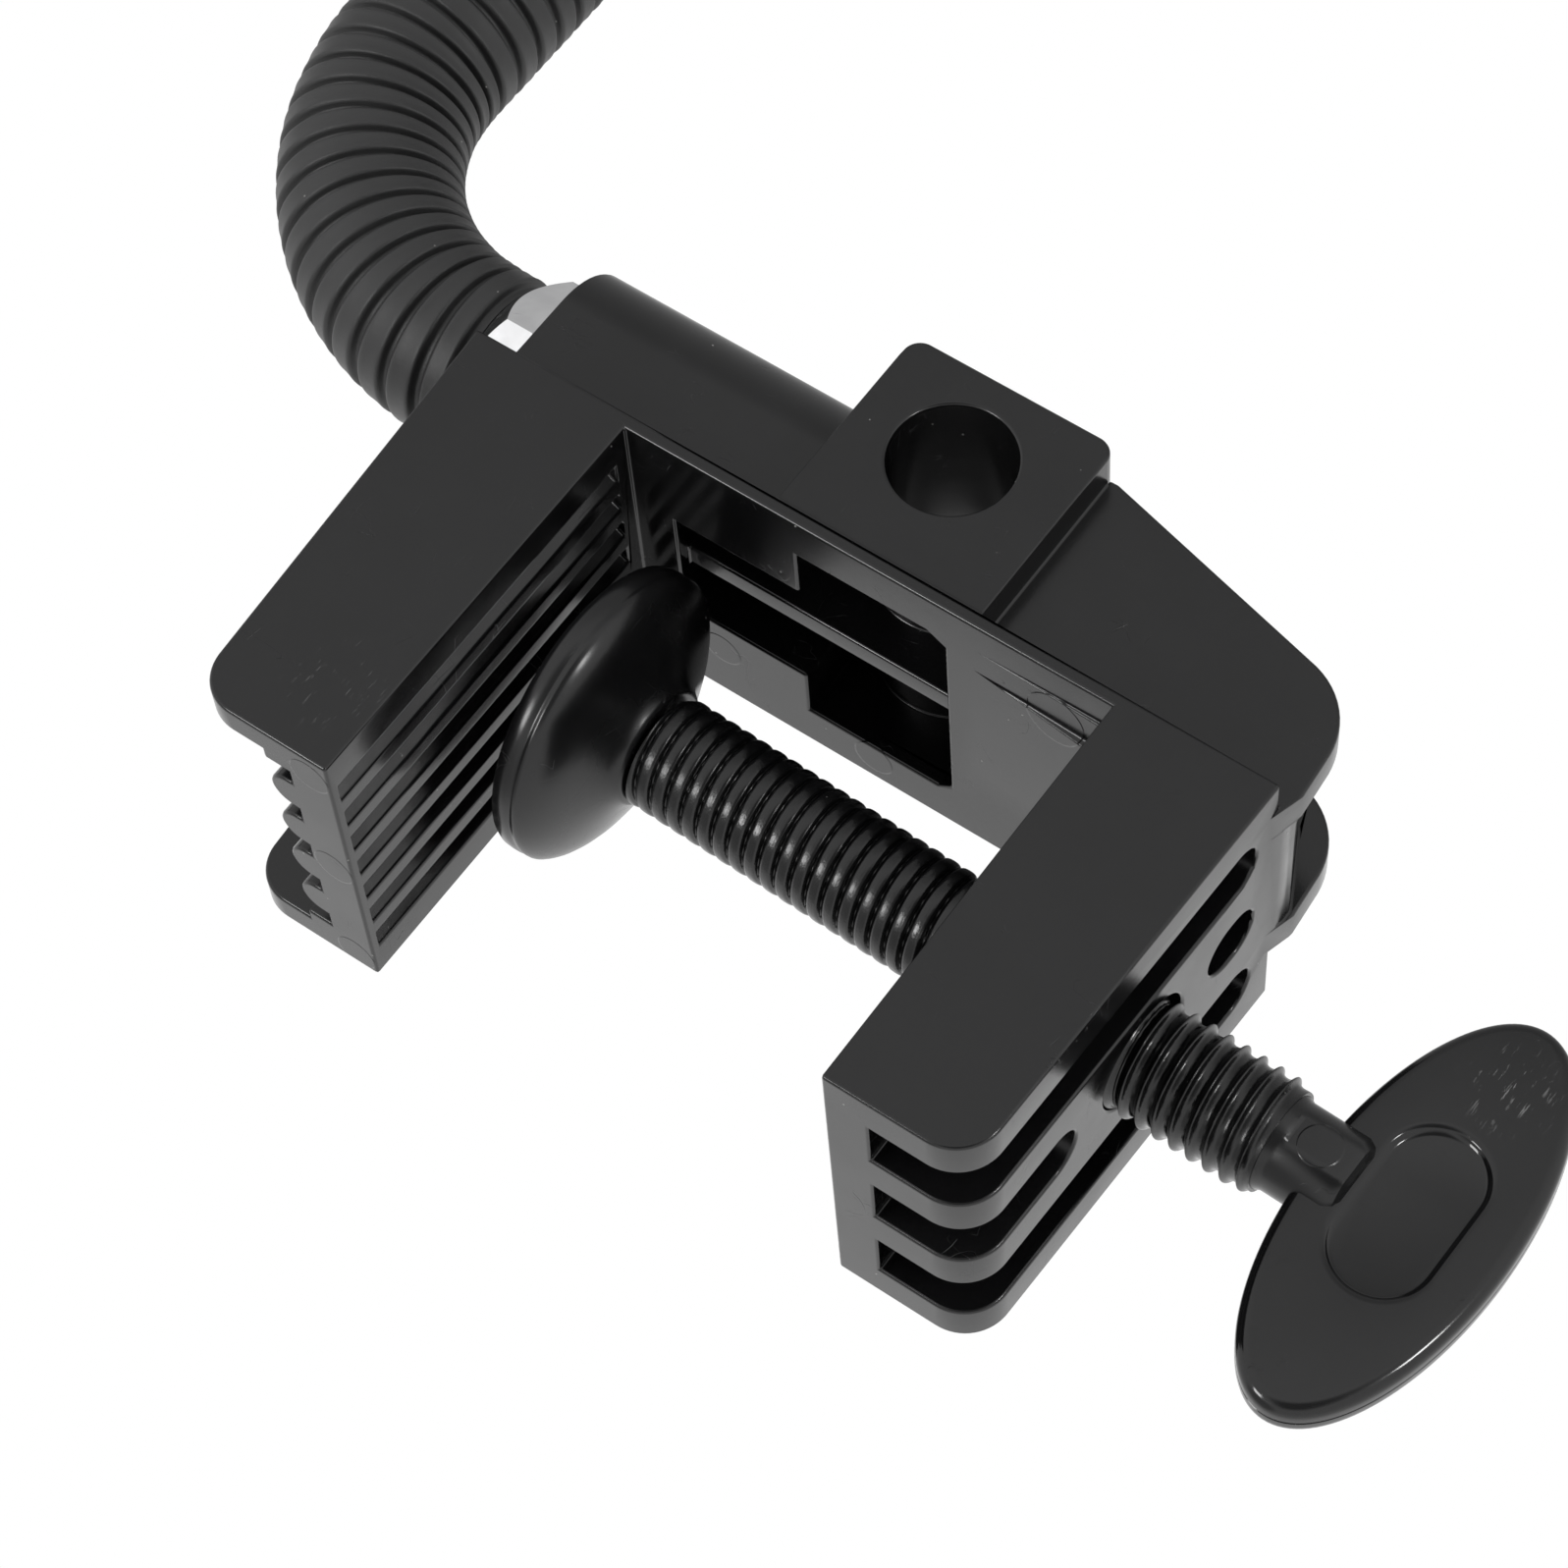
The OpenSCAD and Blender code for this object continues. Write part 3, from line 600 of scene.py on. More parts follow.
def new_group(name: str, inputs: dict[str, str],
              outputs: dict[str, str]) -> tuple[Graph, bpy.types.Node, bpy.types.Node]:
    """Starts a shader node group.

    Args:
        name: Its name.
        inputs: Socket names and types.
        outputs: Socket names and types.

    Returns:
        The graph, its input node and its output node.
    """
    tree = bpy.data.node_groups.new(name, "ShaderNodeTree")
    for label, kind in inputs.items():
        tree.interface.new_socket(label, in_out="INPUT", socket_type=kind)
    for label, kind in outputs.items():
        tree.interface.new_socket(label, in_out="OUTPUT", socket_type=kind)
    graph = Graph(tree)
    return graph, graph.add("NodeGroupInput"), graph.add("NodeGroupOutput")


@dataclass
class SharedEffects:
    """The effects that several materials use, each built once as a node group."""

    handling: bpy.types.NodeTree = field(init=False)
    pin_mark: bpy.types.NodeTree = field(init=False)
    rubbed: bpy.types.NodeTree = field(init=False)
    speck_scale: float = 0.42
    speck_edge: tuple[float, float] = (0.03, 0.055)
    speck_cull: float = 0.72
    scratch_runs: tuple[tuple[Point, Point], ...] = (
        ((0.3, 0.9, 0.4), (1.0, 0.16, 0.5)), ((1.1, 0.2, 1.9), (0.2, 1.0, 0.4)))
    scratch_noise: tuple[float, float, float] = (0.55, 1.0, 0.3)
    scratch_width: float = 0.0032
    patch_noise: tuple[float, float] = (0.19, 2.0)
    patch_edge: tuple[float, float] = (0.58, 0.7)
    cloud_noise: tuple[float, float, float] = (0.09, 4.0, 0.6)
    pin_edge: float = 0.1
    rub_fade: tuple[float, float] = (0.3, 1.0)
    rub_run: tuple[Point, Point] = ((0.75, 0.0, 0.0), (1.0, 0.16, 1.5))
    streak_noise: tuple[float, float, float] = (2.1, 5.0, 0.7)
    streak_edge: tuple[float, float] = (0.58, 0.63)
    clump_scale: float = 0.45
    clump_edge: tuple[float, float] = (0.44, 0.56)

    def __post_init__(self) -> None:
        """Builds the groups."""
        self.handling = self.handling_group()
        self.pin_mark = self.pin_mark_group()
        self.rubbed = self.rubbed_group()

    def handling_group(self) -> bpy.types.NodeTree:
        """Dust specks, fine scratches and cloudy gloss.

        Returns:
            The group, whose Place input is in millimetres.
        """
        g, into, out = new_group(
            "dust_and_scratches",
            {"Place": "NodeSocketVector", "Dust": "NodeSocketFloat", "Scratches": "NodeSocketFloat"},
            {"Dust": "NodeSocketFloat", "Scratch": "NodeSocketFloat", "Cloud": "NodeSocketFloat"})
        place = into.outputs["Place"]
        specks = g.filled(g.add("TexVoronoi", feature="F1"), Vector=place, Scale=self.speck_scale)
        dot = g.band(specks.outputs["Distance"], *self.speck_edge, 1.0, 0.0)
        hue = g.add("SeparateColor")
        g.link(specks.outputs["Color"], hue.inputs[0])
        kept = g.maths("GREATER_THAN", hue.outputs[0], self.speck_cull)
        g.link(g.maths("MULTIPLY", g.maths("MULTIPLY", dot, kept), into.outputs["Dust"]), out.inputs["Dust"])
        lines = None
        for turn, stretch in self.scratch_runs:
            noise = g.noise(g.stretched(place, turn, stretch), *self.scratch_noise)
            off = g.maths("ABSOLUTE", g.maths("SUBTRACT", noise, 0.5))
            line = g.band(off, 0.0, self.scratch_width, 1.0, 0.0)
            lines = line if lines is None else g.maths("MAXIMUM", lines, line)
        patch = g.band(g.noise(place, *self.patch_noise), *self.patch_edge)
        broken = g.maths("MULTIPLY", lines, patch)
        g.link(g.maths("MULTIPLY", broken, into.outputs["Scratches"]), out.inputs["Scratch"])
        g.link(g.noise(place, *self.cloud_noise), out.inputs["Cloud"])
        return g.tree

    def pin_mark_group(self) -> bpy.types.NodeTree:
        """A slightly raised disc left by an ejector pin.

        Returns:
            The group, whose output is 1 on the disc.
        """
        g, into, out = new_group(
            "ejector_pin_mark",
            {"Place": "NodeSocketVector", "Centre": "NodeSocketVector", "Radius": "NodeSocketFloat"},
            {"Disc": "NodeSocketFloat"})
        gap = g.vector("DISTANCE", into.outputs["Place"], into.outputs["Centre"]).outputs["Value"]
        off = g.maths("SUBTRACT", gap, into.outputs["Radius"])
        g.link(g.band(off, -self.pin_edge, self.pin_edge, 1.0, 0.0), out.inputs["Disc"])
        return g.tree

    def rubbed_group(self) -> bpy.types.NodeTree:
        """A patch that rubbing has left full of short pale scratches.

        Returns:
            The group, whose output is 1 on a scratch.
        """
        g, into, out = new_group(
            "rubbed_patch",
            {"Place": "NodeSocketVector", "Centre": "NodeSocketVector", "Radius": "NodeSocketFloat"},
            {"Scratch": "NodeSocketFloat"})
        place = into.outputs["Place"]
        gap = g.vector("DISTANCE", place, into.outputs["Centre"]).outputs["Value"]
        near = g.band(g.maths("DIVIDE", gap, into.outputs["Radius"]), *self.rub_fade, 1.0, 0.0)
        streaks = g.band(g.noise(g.stretched(place, *self.rub_run), *self.streak_noise), *self.streak_edge)
        clumps = g.band(g.noise(place, self.clump_scale), *self.clump_edge)
        g.link(g.maths("MULTIPLY", g.maths("MULTIPLY", streaks, clumps), near), out.inputs["Scratch"])
        return g.tree


@dataclass(frozen=True)
class Finish:
    """One finish of the stand: colour, gloss and what handling has left on it."""

    name: str
    colour: tuple[float, float, float]
    roughness: float
    metallic: float = 0.0
    grain_mm: float = 0.25
    grain: float = 0.02
    dust: float = 0.0
    scratches: float = 0.0
    cloud: float = 0.05
    marks: tuple[tuple[Point, float], ...] = ()
    rubbed: tuple[Point, float, float] | None = None
    seam: tuple[float, float] | None = None
    dust_colour: tuple[float, float, float] = (0.32, 0.32, 0.31)
    cloud_range: tuple[float, float] = (0.3, 0.7)
    cloud_shade: tuple[float, float] = (0.9, 1.1)
    scratch_roughness: float = 0.25
    dust_roughness: float = 0.4
    grain_detail: float = 3.0
    scratch_mm: float = 0.03
    pin_mm: float = 0.07
    seam_edge: tuple[float, float] = (0.4, 1.6)
    seam_x: float = -19.7

    def material(self, effects: SharedEffects) -> bpy.types.Material:
        """Builds the material.

        Args:
            effects: The shared node groups.

        Returns:
            The material.
        """
        mat = bpy.data.materials.new(self.name)
        mat.use_nodes = True
        g = Graph(mat.node_tree)
        shader = mat.node_tree.nodes["Principled BSDF"]
        place = g.vector("SCALE", g.add("TexCoord").outputs["Object"], 1.0 / MM).outputs[0]
        handling = g.group(effects.handling, Place=place, Dust=self.dust, Scratches=self.scratches)
        cloud, scratch, dust = (handling.outputs[name] for name in ("Cloud", "Scratch", "Dust"))
        tint = g.filled(g.add("Mix", data_type="RGBA"), Factor=dust)
        tint.inputs["A"].default_value = (*self.colour, 1)
        tint.inputs["B"].default_value = (*self.dust_colour, 1)
        colour = tint.outputs["Result"]
        if self.rubbed is not None:
            centre, radius, paleness = self.rubbed
            worn = g.group(effects.rubbed, Place=place, Centre=centre, Radius=radius)
            pale = g.filled(g.add("Mix", data_type="RGBA"), Factor=worn.outputs["Scratch"])
            g.link(colour, pale.inputs["A"])
            pale.inputs["B"].default_value = (paleness, paleness, paleness, 1)
            colour = pale.outputs["Result"]
        clouded = g.filled(g.add("HueSaturation"), Color=colour,
                           Value=g.band(cloud, *self.cloud_range, *self.cloud_shade))
        g.link(clouded.outputs[0], shader.inputs["Base Color"])
        rough = g.band(cloud, *self.cloud_range, self.roughness - self.cloud, self.roughness + self.cloud)
        rough = g.maths("MULTIPLY_ADD", scratch, self.scratch_roughness, rough)
        g.link(g.maths("MULTIPLY_ADD", dust, self.dust_roughness, rough), shader.inputs["Roughness"])
        shader.inputs["Metallic"].default_value = self.metallic
        height = g.maths("MULTIPLY", g.noise(place, 1.0 / self.grain_mm, self.grain_detail), self.grain)
        height = g.maths("SUBTRACT", height, g.maths("MULTIPLY", scratch, self.scratch_mm))
        for centre, radius in self.marks:
            mark = g.group(effects.pin_mark, Place=place, Centre=centre, Radius=radius)
            height = g.maths("MULTIPLY_ADD", mark.outputs["Disc"], self.pin_mm, height)
        if self.seam is not None:
            at, half = self.seam
            parts = g.add("SeparateXYZ")
            g.link(place, parts.inputs[0])
            away = g.maths("ABSOLUTE", g.maths("SUBTRACT", parts.outputs[1], at))
            line = g.band(away, *(half * edge for edge in self.seam_edge), 1.0, 0.0)
            side = g.maths("LESS_THAN", parts.outputs[0], self.seam_x)
            height = g.maths("SUBTRACT", height, g.maths("MULTIPLY", g.maths("MULTIPLY", line, side), half))
        bump = g.add("Bump")
        g.value(bump.inputs["Distance"], MM)
        g.link(height, bump.inputs["Height"])
        g.link(bump.outputs[0], shader.inputs["Normal"])
        return mat


@dataclass
class FinishSet:
    """Every material of the stand, by the part of it that it covers."""

    effects: SharedEffects
    jaw_rub: Point = (-20.0, 18.7, 5.3)
    key_rub: Point = (-2.2, -14.9, -105.0)
    flange_seam: tuple[float, float] = (-21.4, 0.09)
    made: dict[str, bpy.types.Material] = field(default_factory=dict)

    def build(self, marks: tuple[tuple[Point, float], ...], stem_mark: Point) -> None:
        """Builds the materials once.

        Args:
            marks: Centre and radius in millimetres of each pin mark on the clamp.
            stem_mark: Centre in millimetres of the pin mark on the screw's stem.
        """
        finishes = (
            Finish("moulded_black", (0.004, 0.004, 0.0042), 0.2, dust=0.8, scratches=0.8,
                   grain_mm=0.6, grain=0.004, marks=marks, rubbed=(self.jaw_rub, 6.5, 0.05),
                   seam=self.flange_seam),
            Finish("polished_black", (0.0035, 0.0035, 0.0037), 0.12, dust=0.5, scratches=0.5,
                   grain_mm=0.8, grain=0.004, cloud=0.03, rubbed=(self.key_rub, 5.8, 0.12)),
            Finish("satin_black", (0.004, 0.004, 0.0042), 0.25, dust=0.6, scratches=0.7,
                   grain_mm=0.7, grain=0.005, cloud=0.04),
            Finish("stem_black", (0.0035, 0.0035, 0.0037), 0.2, dust=0.3, scratches=0.3,
                   grain_mm=0.6, grain=0.005, cloud=0.04, marks=((stem_mark, 2.2),)),
            Finish("screw_black", (0.0035, 0.0035, 0.0037), 0.22, dust=0.3, scratches=0.2,
                   grain_mm=0.3, grain=0.02, cloud=0.06),
            Finish("ribbed_sleeve", (0.015, 0.015, 0.0152), 0.47, dust=1.0,
                   grain_mm=0.12, grain=0.03, cloud=0.06),
            Finish("soft_liner", (0.02, 0.02, 0.02), 0.65, dust=0.6, grain_mm=0.15, grain=0.04, cloud=0.05),
            Finish("bright_plating", (0.86, 0.86, 0.87), 0.13, metallic=1.0, scratches=0.5,
                   grain_mm=0.6, grain=0.01, cloud=0.04),
            Finish("drawn_steel", (0.55, 0.55, 0.56), 0.32, metallic=1.0, grain_mm=0.15, grain=0.02),
            Finish("turned_brass", (0.72, 0.52, 0.24), 0.25, metallic=1.0, grain_mm=0.2, grain=0.02),
        )
        for finish in finishes:
            self.made[finish.name] = finish.material(self.effects)

    def dress(self, obj: bpy.types.Object, name: str) -> None:
        """Gives an object one of the finishes.

        Args:
            obj: The object.
            name: The finish.
        """
        obj.data.materials.clear()
        obj.data.materials.append(self.made[name])


# ---------------------------------------------------------------- the stand


@dataclass
class PinMarks:
    """The round marks that the mould's ejector pins left on the clamp, found from the image points."""

    view: Viewpoint
    radii: dict[str, float] = field(default_factory=lambda: {
        "spine_mark_low": 3.3, "spine_mark_high": 2.3, "spine_mark_side": 2.3, "jaw_end_mark": 2.3})
    row_step: float = 17.3

    def on(self, body: bpy.types.Object) -> tuple[tuple[Point, float], ...]:
        """Finds the marks on the clamp's body; those on the jaw's end stand in a row of three.

        Args:
            body: The clamp's body, as finished and placed.

        Returns:
            Centre and radius in millimetres of each mark.
        """
        out = []
        for name, radius in self.radii.items():
            place = self.view.meet(body, *self.view.points[name]) / MM
            steps = (-1, 0, 1) if name == "jaw_end_mark" else (0,)
            out.extend(((place.x + step * self.row_step, place.y, place.z), radius) for step in steps)
        return tuple(out)


@dataclass
class Clamp:
    """The clamp's one-piece frame and the fitting that the neck is screwed into."""

    finishes: FinishSet
    edges: EdgeRounding = EdgeRounding()

    def shape(self) -> bpy.types.Object:
        """Rounds the frame's edges as the mould does.

        Returns:
            The frame.
        """
        body = self.edges.applied_to("clamp_frame", "clamp_body")
        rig.ride(body, "clamp")
        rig.replaces(body, "clamp_frame")
        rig.slot(body, "body")
        log.info("clamp body: %d faces", len(body.data.polygons))
        return body

    def build(self) -> None:
        """Dresses the frame, the nut and the stud."""
        self.finishes.dress(bpy.data.objects["clamp_body"], "moulded_black")
        for node, finish in (("lower_nut", "bright_plating"), ("lower_stud", "drawn_steel")):
            dress_node(node, finish, self.finishes)


def dress_node(node: str, finish: str, finishes: FinishSet) -> None:
    """Keeps a CAD node's shape and gives it a finish.

    Args:
        node: The node.
        finish: The finish's name.
        finishes: The set that holds it.
    """
    obj = bpy.data.objects[node]
    finishes.dress(obj, finish)
    shade(obj, HARDWARE_SHARP)


@dataclass
class ClampScrew:
    """The screw with its moulded thread, its stem and its oval key, in one piece that leans in its hole."""

    finishes: FinishSet
    lean: float = 1.6
    foot_z: float = -65.85
    crest_r: float = 6.08
    root_r: float = 5.52
    deep_root_r: float = 5.4
    pitch: float = 1.9
    crest_z: float = -17.15
    form_change: tuple[float, float] = (-71.0, -75.5)
    thread_top: float = -16.45
    thread_end: float = -89.8
    neck_r: float = 3.15
    neck_top: float = -11.0
    stem_r: float = 4.78
    stem_flat: float = 4.28
    stem_end: float = -98.15
    stem_mark_z: float = -94.0
    key_z: float = -103.8
    key_w: float = 20.8
    key_l: float = 47.0
    key_t: float = 4.5
    edge_r: float = 1.35
    dish: tuple[float, float, float] = (10.3, 18.8, 0.7)
    facets: int = 72
    rows_per_turn: int = 24
    end_fades: tuple[float, float] = (1.2, 0.3)
    key_facets: int = 128
    edge_steps: int = 6
    edge_join: float = 0.04
    parting: tuple[tuple[float, float], ...] = ((0.0, -0.16), (0.14, -0.07), (0.14, 0.07), (0.0, 0.16))
    neck_facets: int = 32
    finish_names: dict[str, str] = field(default_factory=lambda: {
        "screw_thread": "screw_black", "screw_stem": "stem_black"})

    def placed(self, x: float, y: float, z: float) -> Vector:
        """A point of the upright screw, moved to where the leaning one has it.

        Args:
            x: Its X in millimetres.
            y: Its Y in millimetres.
            z: Its Z in millimetres.

        Returns:
            The point in the row frame.
        """
        foot = Vector((0, 0, self.foot_z))
        turn = Matrix.Rotation(math.radians(self.lean), 3, "X")
        return (foot + turn @ (Vector((x, y, z)) - foot)) * MM

    def height_share(self, form: ThreadForm, t: float) -> float:
        """How far the thread stands out at a place in one turn.

        Args:
            form: The thread's form.
            t: Distance from the groove's middle, as a share of the pitch.

        Returns:
            0 on the root and 1 on the crest.
        """
        t = min(t, 1 - t)
        for (t0, h0), (t1, h1) in zip(form.value, form.value[1:]):
            if t <= t1:
                return h0 + (h1 - h0) * (t - t0) / (t1 - t0)
        return 1.0

    def thread_radius(self, angle: float, height: float) -> float:
        """Radius of the right-hand thread.

        Args:
            angle: Angle about the screw's axis in radians.
            height: Height in millimetres.

        Returns:
            The radius in millimetres.
        """
        turn = (height - self.crest_z) / self.pitch - angle / (2 * math.pi) + 0.5
        t = turn - math.floor(turn)
        high, low = self.form_change
        mix = min(1.0, max(0.0, (high - height) / (high - low)))
        lobed = self.root_r + (self.crest_r - self.root_r) * self.height_share(ThreadForm.LOBED, t)
        depth = self.crest_r - self.deep_root_r
        lipped = self.deep_root_r + depth * self.height_share(ThreadForm.LIPPED, t)
        return lobed + (lipped - lobed) * mix

    def thread(self) -> bpy.types.Object:
        """The threaded rod with its blended ends.

        Returns:
            The rod.
        """
        shell = Shell("screw_thread")
        n, (low_fade, top_fade) = self.facets, self.end_fades
        rows = int((self.thread_top - self.thread_end) / self.pitch * self.rows_per_turn)
        rings = []
        for row in range(rows + 1):
            z = self.thread_end + (self.thread_top - self.thread_end) * row / rows
            fade = max(0.0, min(1.0, (z - self.thread_end) / low_fade, (self.thread_top - z) / top_fade))
            points = []
            for i in range(n):
                a = 2 * math.pi * i / n
                r = self.deep_root_r + (self.thread_radius(a, z) - self.deep_root_r) * fade
                points.append(self.placed(r * math.cos(a), r * math.sin(a), z))
            rings.append(shell.ring(points))
        for a, b in zip(rings, rings[1:]):
            shell.bridge(a, b)
        shell.cap(rings[0], flip=True)
        shell.cap(rings[-1])
        return shell.build(60.0)

    def stem(self) -> bpy.types.Object:
        """The stem: a cone below the thread, then flats on both sides and a chamfered end.

        Returns:
            The stem.
        """
        shell = Shell("screw_stem")
        n, end = self.facets, self.thread_end
        levels = ((end + 1.2, 5.25, 9.0), (end + 0.2, 5.2, 9.0), (end - 0.7, self.stem_r, 9.0),
                  (end - 1.1, self.stem_r, self.stem_flat + 0.35), (end - 1.5, self.stem_r, self.stem_flat),
                  (self.stem_end + 1.3, self.stem_r, self.stem_flat),
                  (self.stem_end + 0.4, self.stem_r - 0.45, self.stem_flat - 0.35),
                  (self.stem_end, self.stem_r - 1.2, self.stem_flat - 1.0))
        rings = []
        for z, r, flat in levels:
            around = [2 * math.pi * i / n for i in range(n)]
            rings.append(shell.ring([
                self.placed(max(-flat, min(flat, r * math.cos(a))), r * math.sin(a), z) for a in around]))
        for a, b in zip(rings, rings[1:]):
            shell.bridge(a, b)
        shell.cap(rings[0])
        shell.cap(rings[-1], flip=True)
        return shell.build(30.0)

    def key_point(self, angle: float, margin: float, x: float) -> Vector:
        """A point of the key's oval, drawn in by a margin.

        Args:
            angle: Angle round the oval in radians.
            margin: Distance in from its edge in millimetres.
            x: Distance from the key's middle plane in millimetres.

        Returns:
            The point in the row frame.
        """
        a, b = self.key_w / 2, self.key_l / 2
        on = Vector((a * math.cos(angle), b * math.sin(angle)))
        out = Vector((math.cos(angle) / a, math.sin(angle) / b)).normalized()
        on -= out * margin
        return self.placed(x, on.y, self.key_z + on.x)

    def dish_point(self, angle: float, grow: float, x: float) -> Vector:
        """A point of the finger recess's round-ended outline.

        Args:
            angle: Angle round the key's oval in radians.
            grow: How far outside the outline it lies in millimetres.
            x: Distance from the key's middle plane in millimetres.

        Returns:
            The point in the row frame.
        """
        w, l, _ = self.dish
        bearing = math.atan2(self.key_l / 2 * math.sin(angle), self.key_w / 2 * math.cos(angle))
        direction = Vector((math.cos(bearing), math.sin(bearing)))
        point = self.obround_hit(direction, w / 2 + grow, (l - w) / 2)
        return self.placed(x, point.y, self.key_z + point.x)

    @staticmethod
    def obround_hit(direction: Vector, r: float, half: float) -> Vector:
        """Where a ray from the middle of an obround meets its outline.

        Args:
            direction: The ray's unit direction.
            r: Radius of the round ends.
            half: Distance from the middle to the centre of a round end.

        Returns:
            The point on the outline.
        """
        if abs(direction.x) > TINY:
            t = r / abs(direction.x)
            if abs(direction.y) * t <= half:
                return direction * t
        cy = half if direction.y >= 0 else -half
        b = direction.y * cy
        t = b + math.sqrt(max(0.0, b * b - (cy * cy - r * r)))
        return direction * t

    def key_sections(self, side: int) -> list[Callable[[float], Vector]]:
        """The outlines from the recess's floor out to the key's rim, on one face.

        Args:
            side: -1 for the face towards -X and 1 for the other one.

        Returns:
            One function from an angle to a point for each outline.
        """
        t, e, depth = self.key_t / 2, self.edge_r, self.dish[2]
        sections: list[Callable[[float], Vector]] = [
            lambda q, g=grow, x=drop: self.dish_point(q, g, side * (t - x))
            for grow, drop in ((-0.55, depth), (-0.15, depth - 0.12), (0.05, 0.22), (0.3, 0.03), (0.75, 0.0))]
        for k in range(self.edge_steps + 1):
            a = math.pi / 2 * k / self.edge_steps
            sections.append(lambda q, m=(e + self.edge_join) * (1 - math.sin(a)), x=e * (1 - math.cos(a)):
                            self.key_point(q, m, side * (t - x)))
        return sections

    def key(self) -> bpy.types.Object:
        """The oval key with rounded edges, a parting line and a recess in each face.

        Returns:
            The key.
        """
        angles = [2 * math.pi * i / self.key_facets for i in range(self.key_facets)]
        parting = [lambda q, m=margin, x=place: self.key_point(q, m, x) for margin, place in self.parting]
        sections = self.key_sections(-1) + parting + self.key_sections(1)[::-1]
        shell = Shell("screw_key")
        rings = [shell.ring([f(q) for q in angles]) for f in sections]
        for a, b in zip(rings, rings[1:]):
            shell.bridge(a, b)
        shell.cap(rings[0], flip=True)
        shell.cap(rings[-1])
        return shell.build(50.0)

    def neck(self) -> bpy.types.Object:
        """The plain neck that carries the ball inside the pad.

        Returns:
            The neck.
        """
        axis = (self.placed(0, 0, 1) - self.placed(0, 0, 0)).normalized()
        low, high = self.thread_top - 1.0 - self.foot_z, self.neck_top - self.foot_z
        foot = self.placed(0, 0, self.foot_z)
        return lathe("screw_neck", [(self.neck_r, low), (self.neck_r, high)], foot, axis, self.neck_facets)

    def build(self) -> None:
        """Builds the screw's pieces and sets them in place of the CAD node."""
        for piece in (self.thread(), self.stem(), self.key(), self.neck()):
            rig.ride(piece, "screw")
            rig.replaces(piece, "clamp_screw")
            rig.slot(piece, "body")
            self.finishes.dress(piece, self.finish_names.get(piece.name, "polished_black"))
            log.info("%s: %d faces", piece.name, len(piece.data.polygons))


@dataclass
class PressurePad:
    """The round pad on the screw's ball: a flat face, a rim and a dome that falls to its neck."""

    finishes: FinishSet
    face: Point = (0.0, -1.487, -7.0)
    profile: tuple[tuple[float, float], ...] = (
        (0.0, 0.0), (14.5, 0.0), (15.22, 0.13), (15.65, 0.45), (15.89, 0.95), (15.94, 1.6), (15.92, 2.2),
        (15.79, 2.5), (15.77, 2.72), (15.87, 2.98), (15.85, 3.25), (15.6, 3.62), (15.16, 4.1), (14.4, 4.7),
        (13.35, 5.35), (12.1, 5.95), (10.65, 6.55), (9.2, 7.15), (7.95, 7.75), (7.1, 8.3), (6.65, 8.8),
        (6.4, 9.12), (5.9, 9.18), (3.85, 9.18))
    facets: int = 160
    sharp_deg: float = 60.0

    def build(self) -> None:
        """Turns the pad from its profile."""
        pad = lathe("pad_body", self.profile, Vector(self.face) * MM, Vector((0, 0, -1)),
                    self.facets, self.sharp_deg)
        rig.ride(pad, "pad")
        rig.replaces(pad, "pressure_pad")
        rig.slot(pad, "pad")
        self.finishes.dress(pad, "satin_black")
        log.info("pad: %d faces", len(pad.data.polygons))


@dataclass(frozen=True)
class Leg:
    """One leg of the neck's centre line: its length, its bend radius and the side it bends to."""

    length: float
    radius: float = 0.0
    side: int = 0


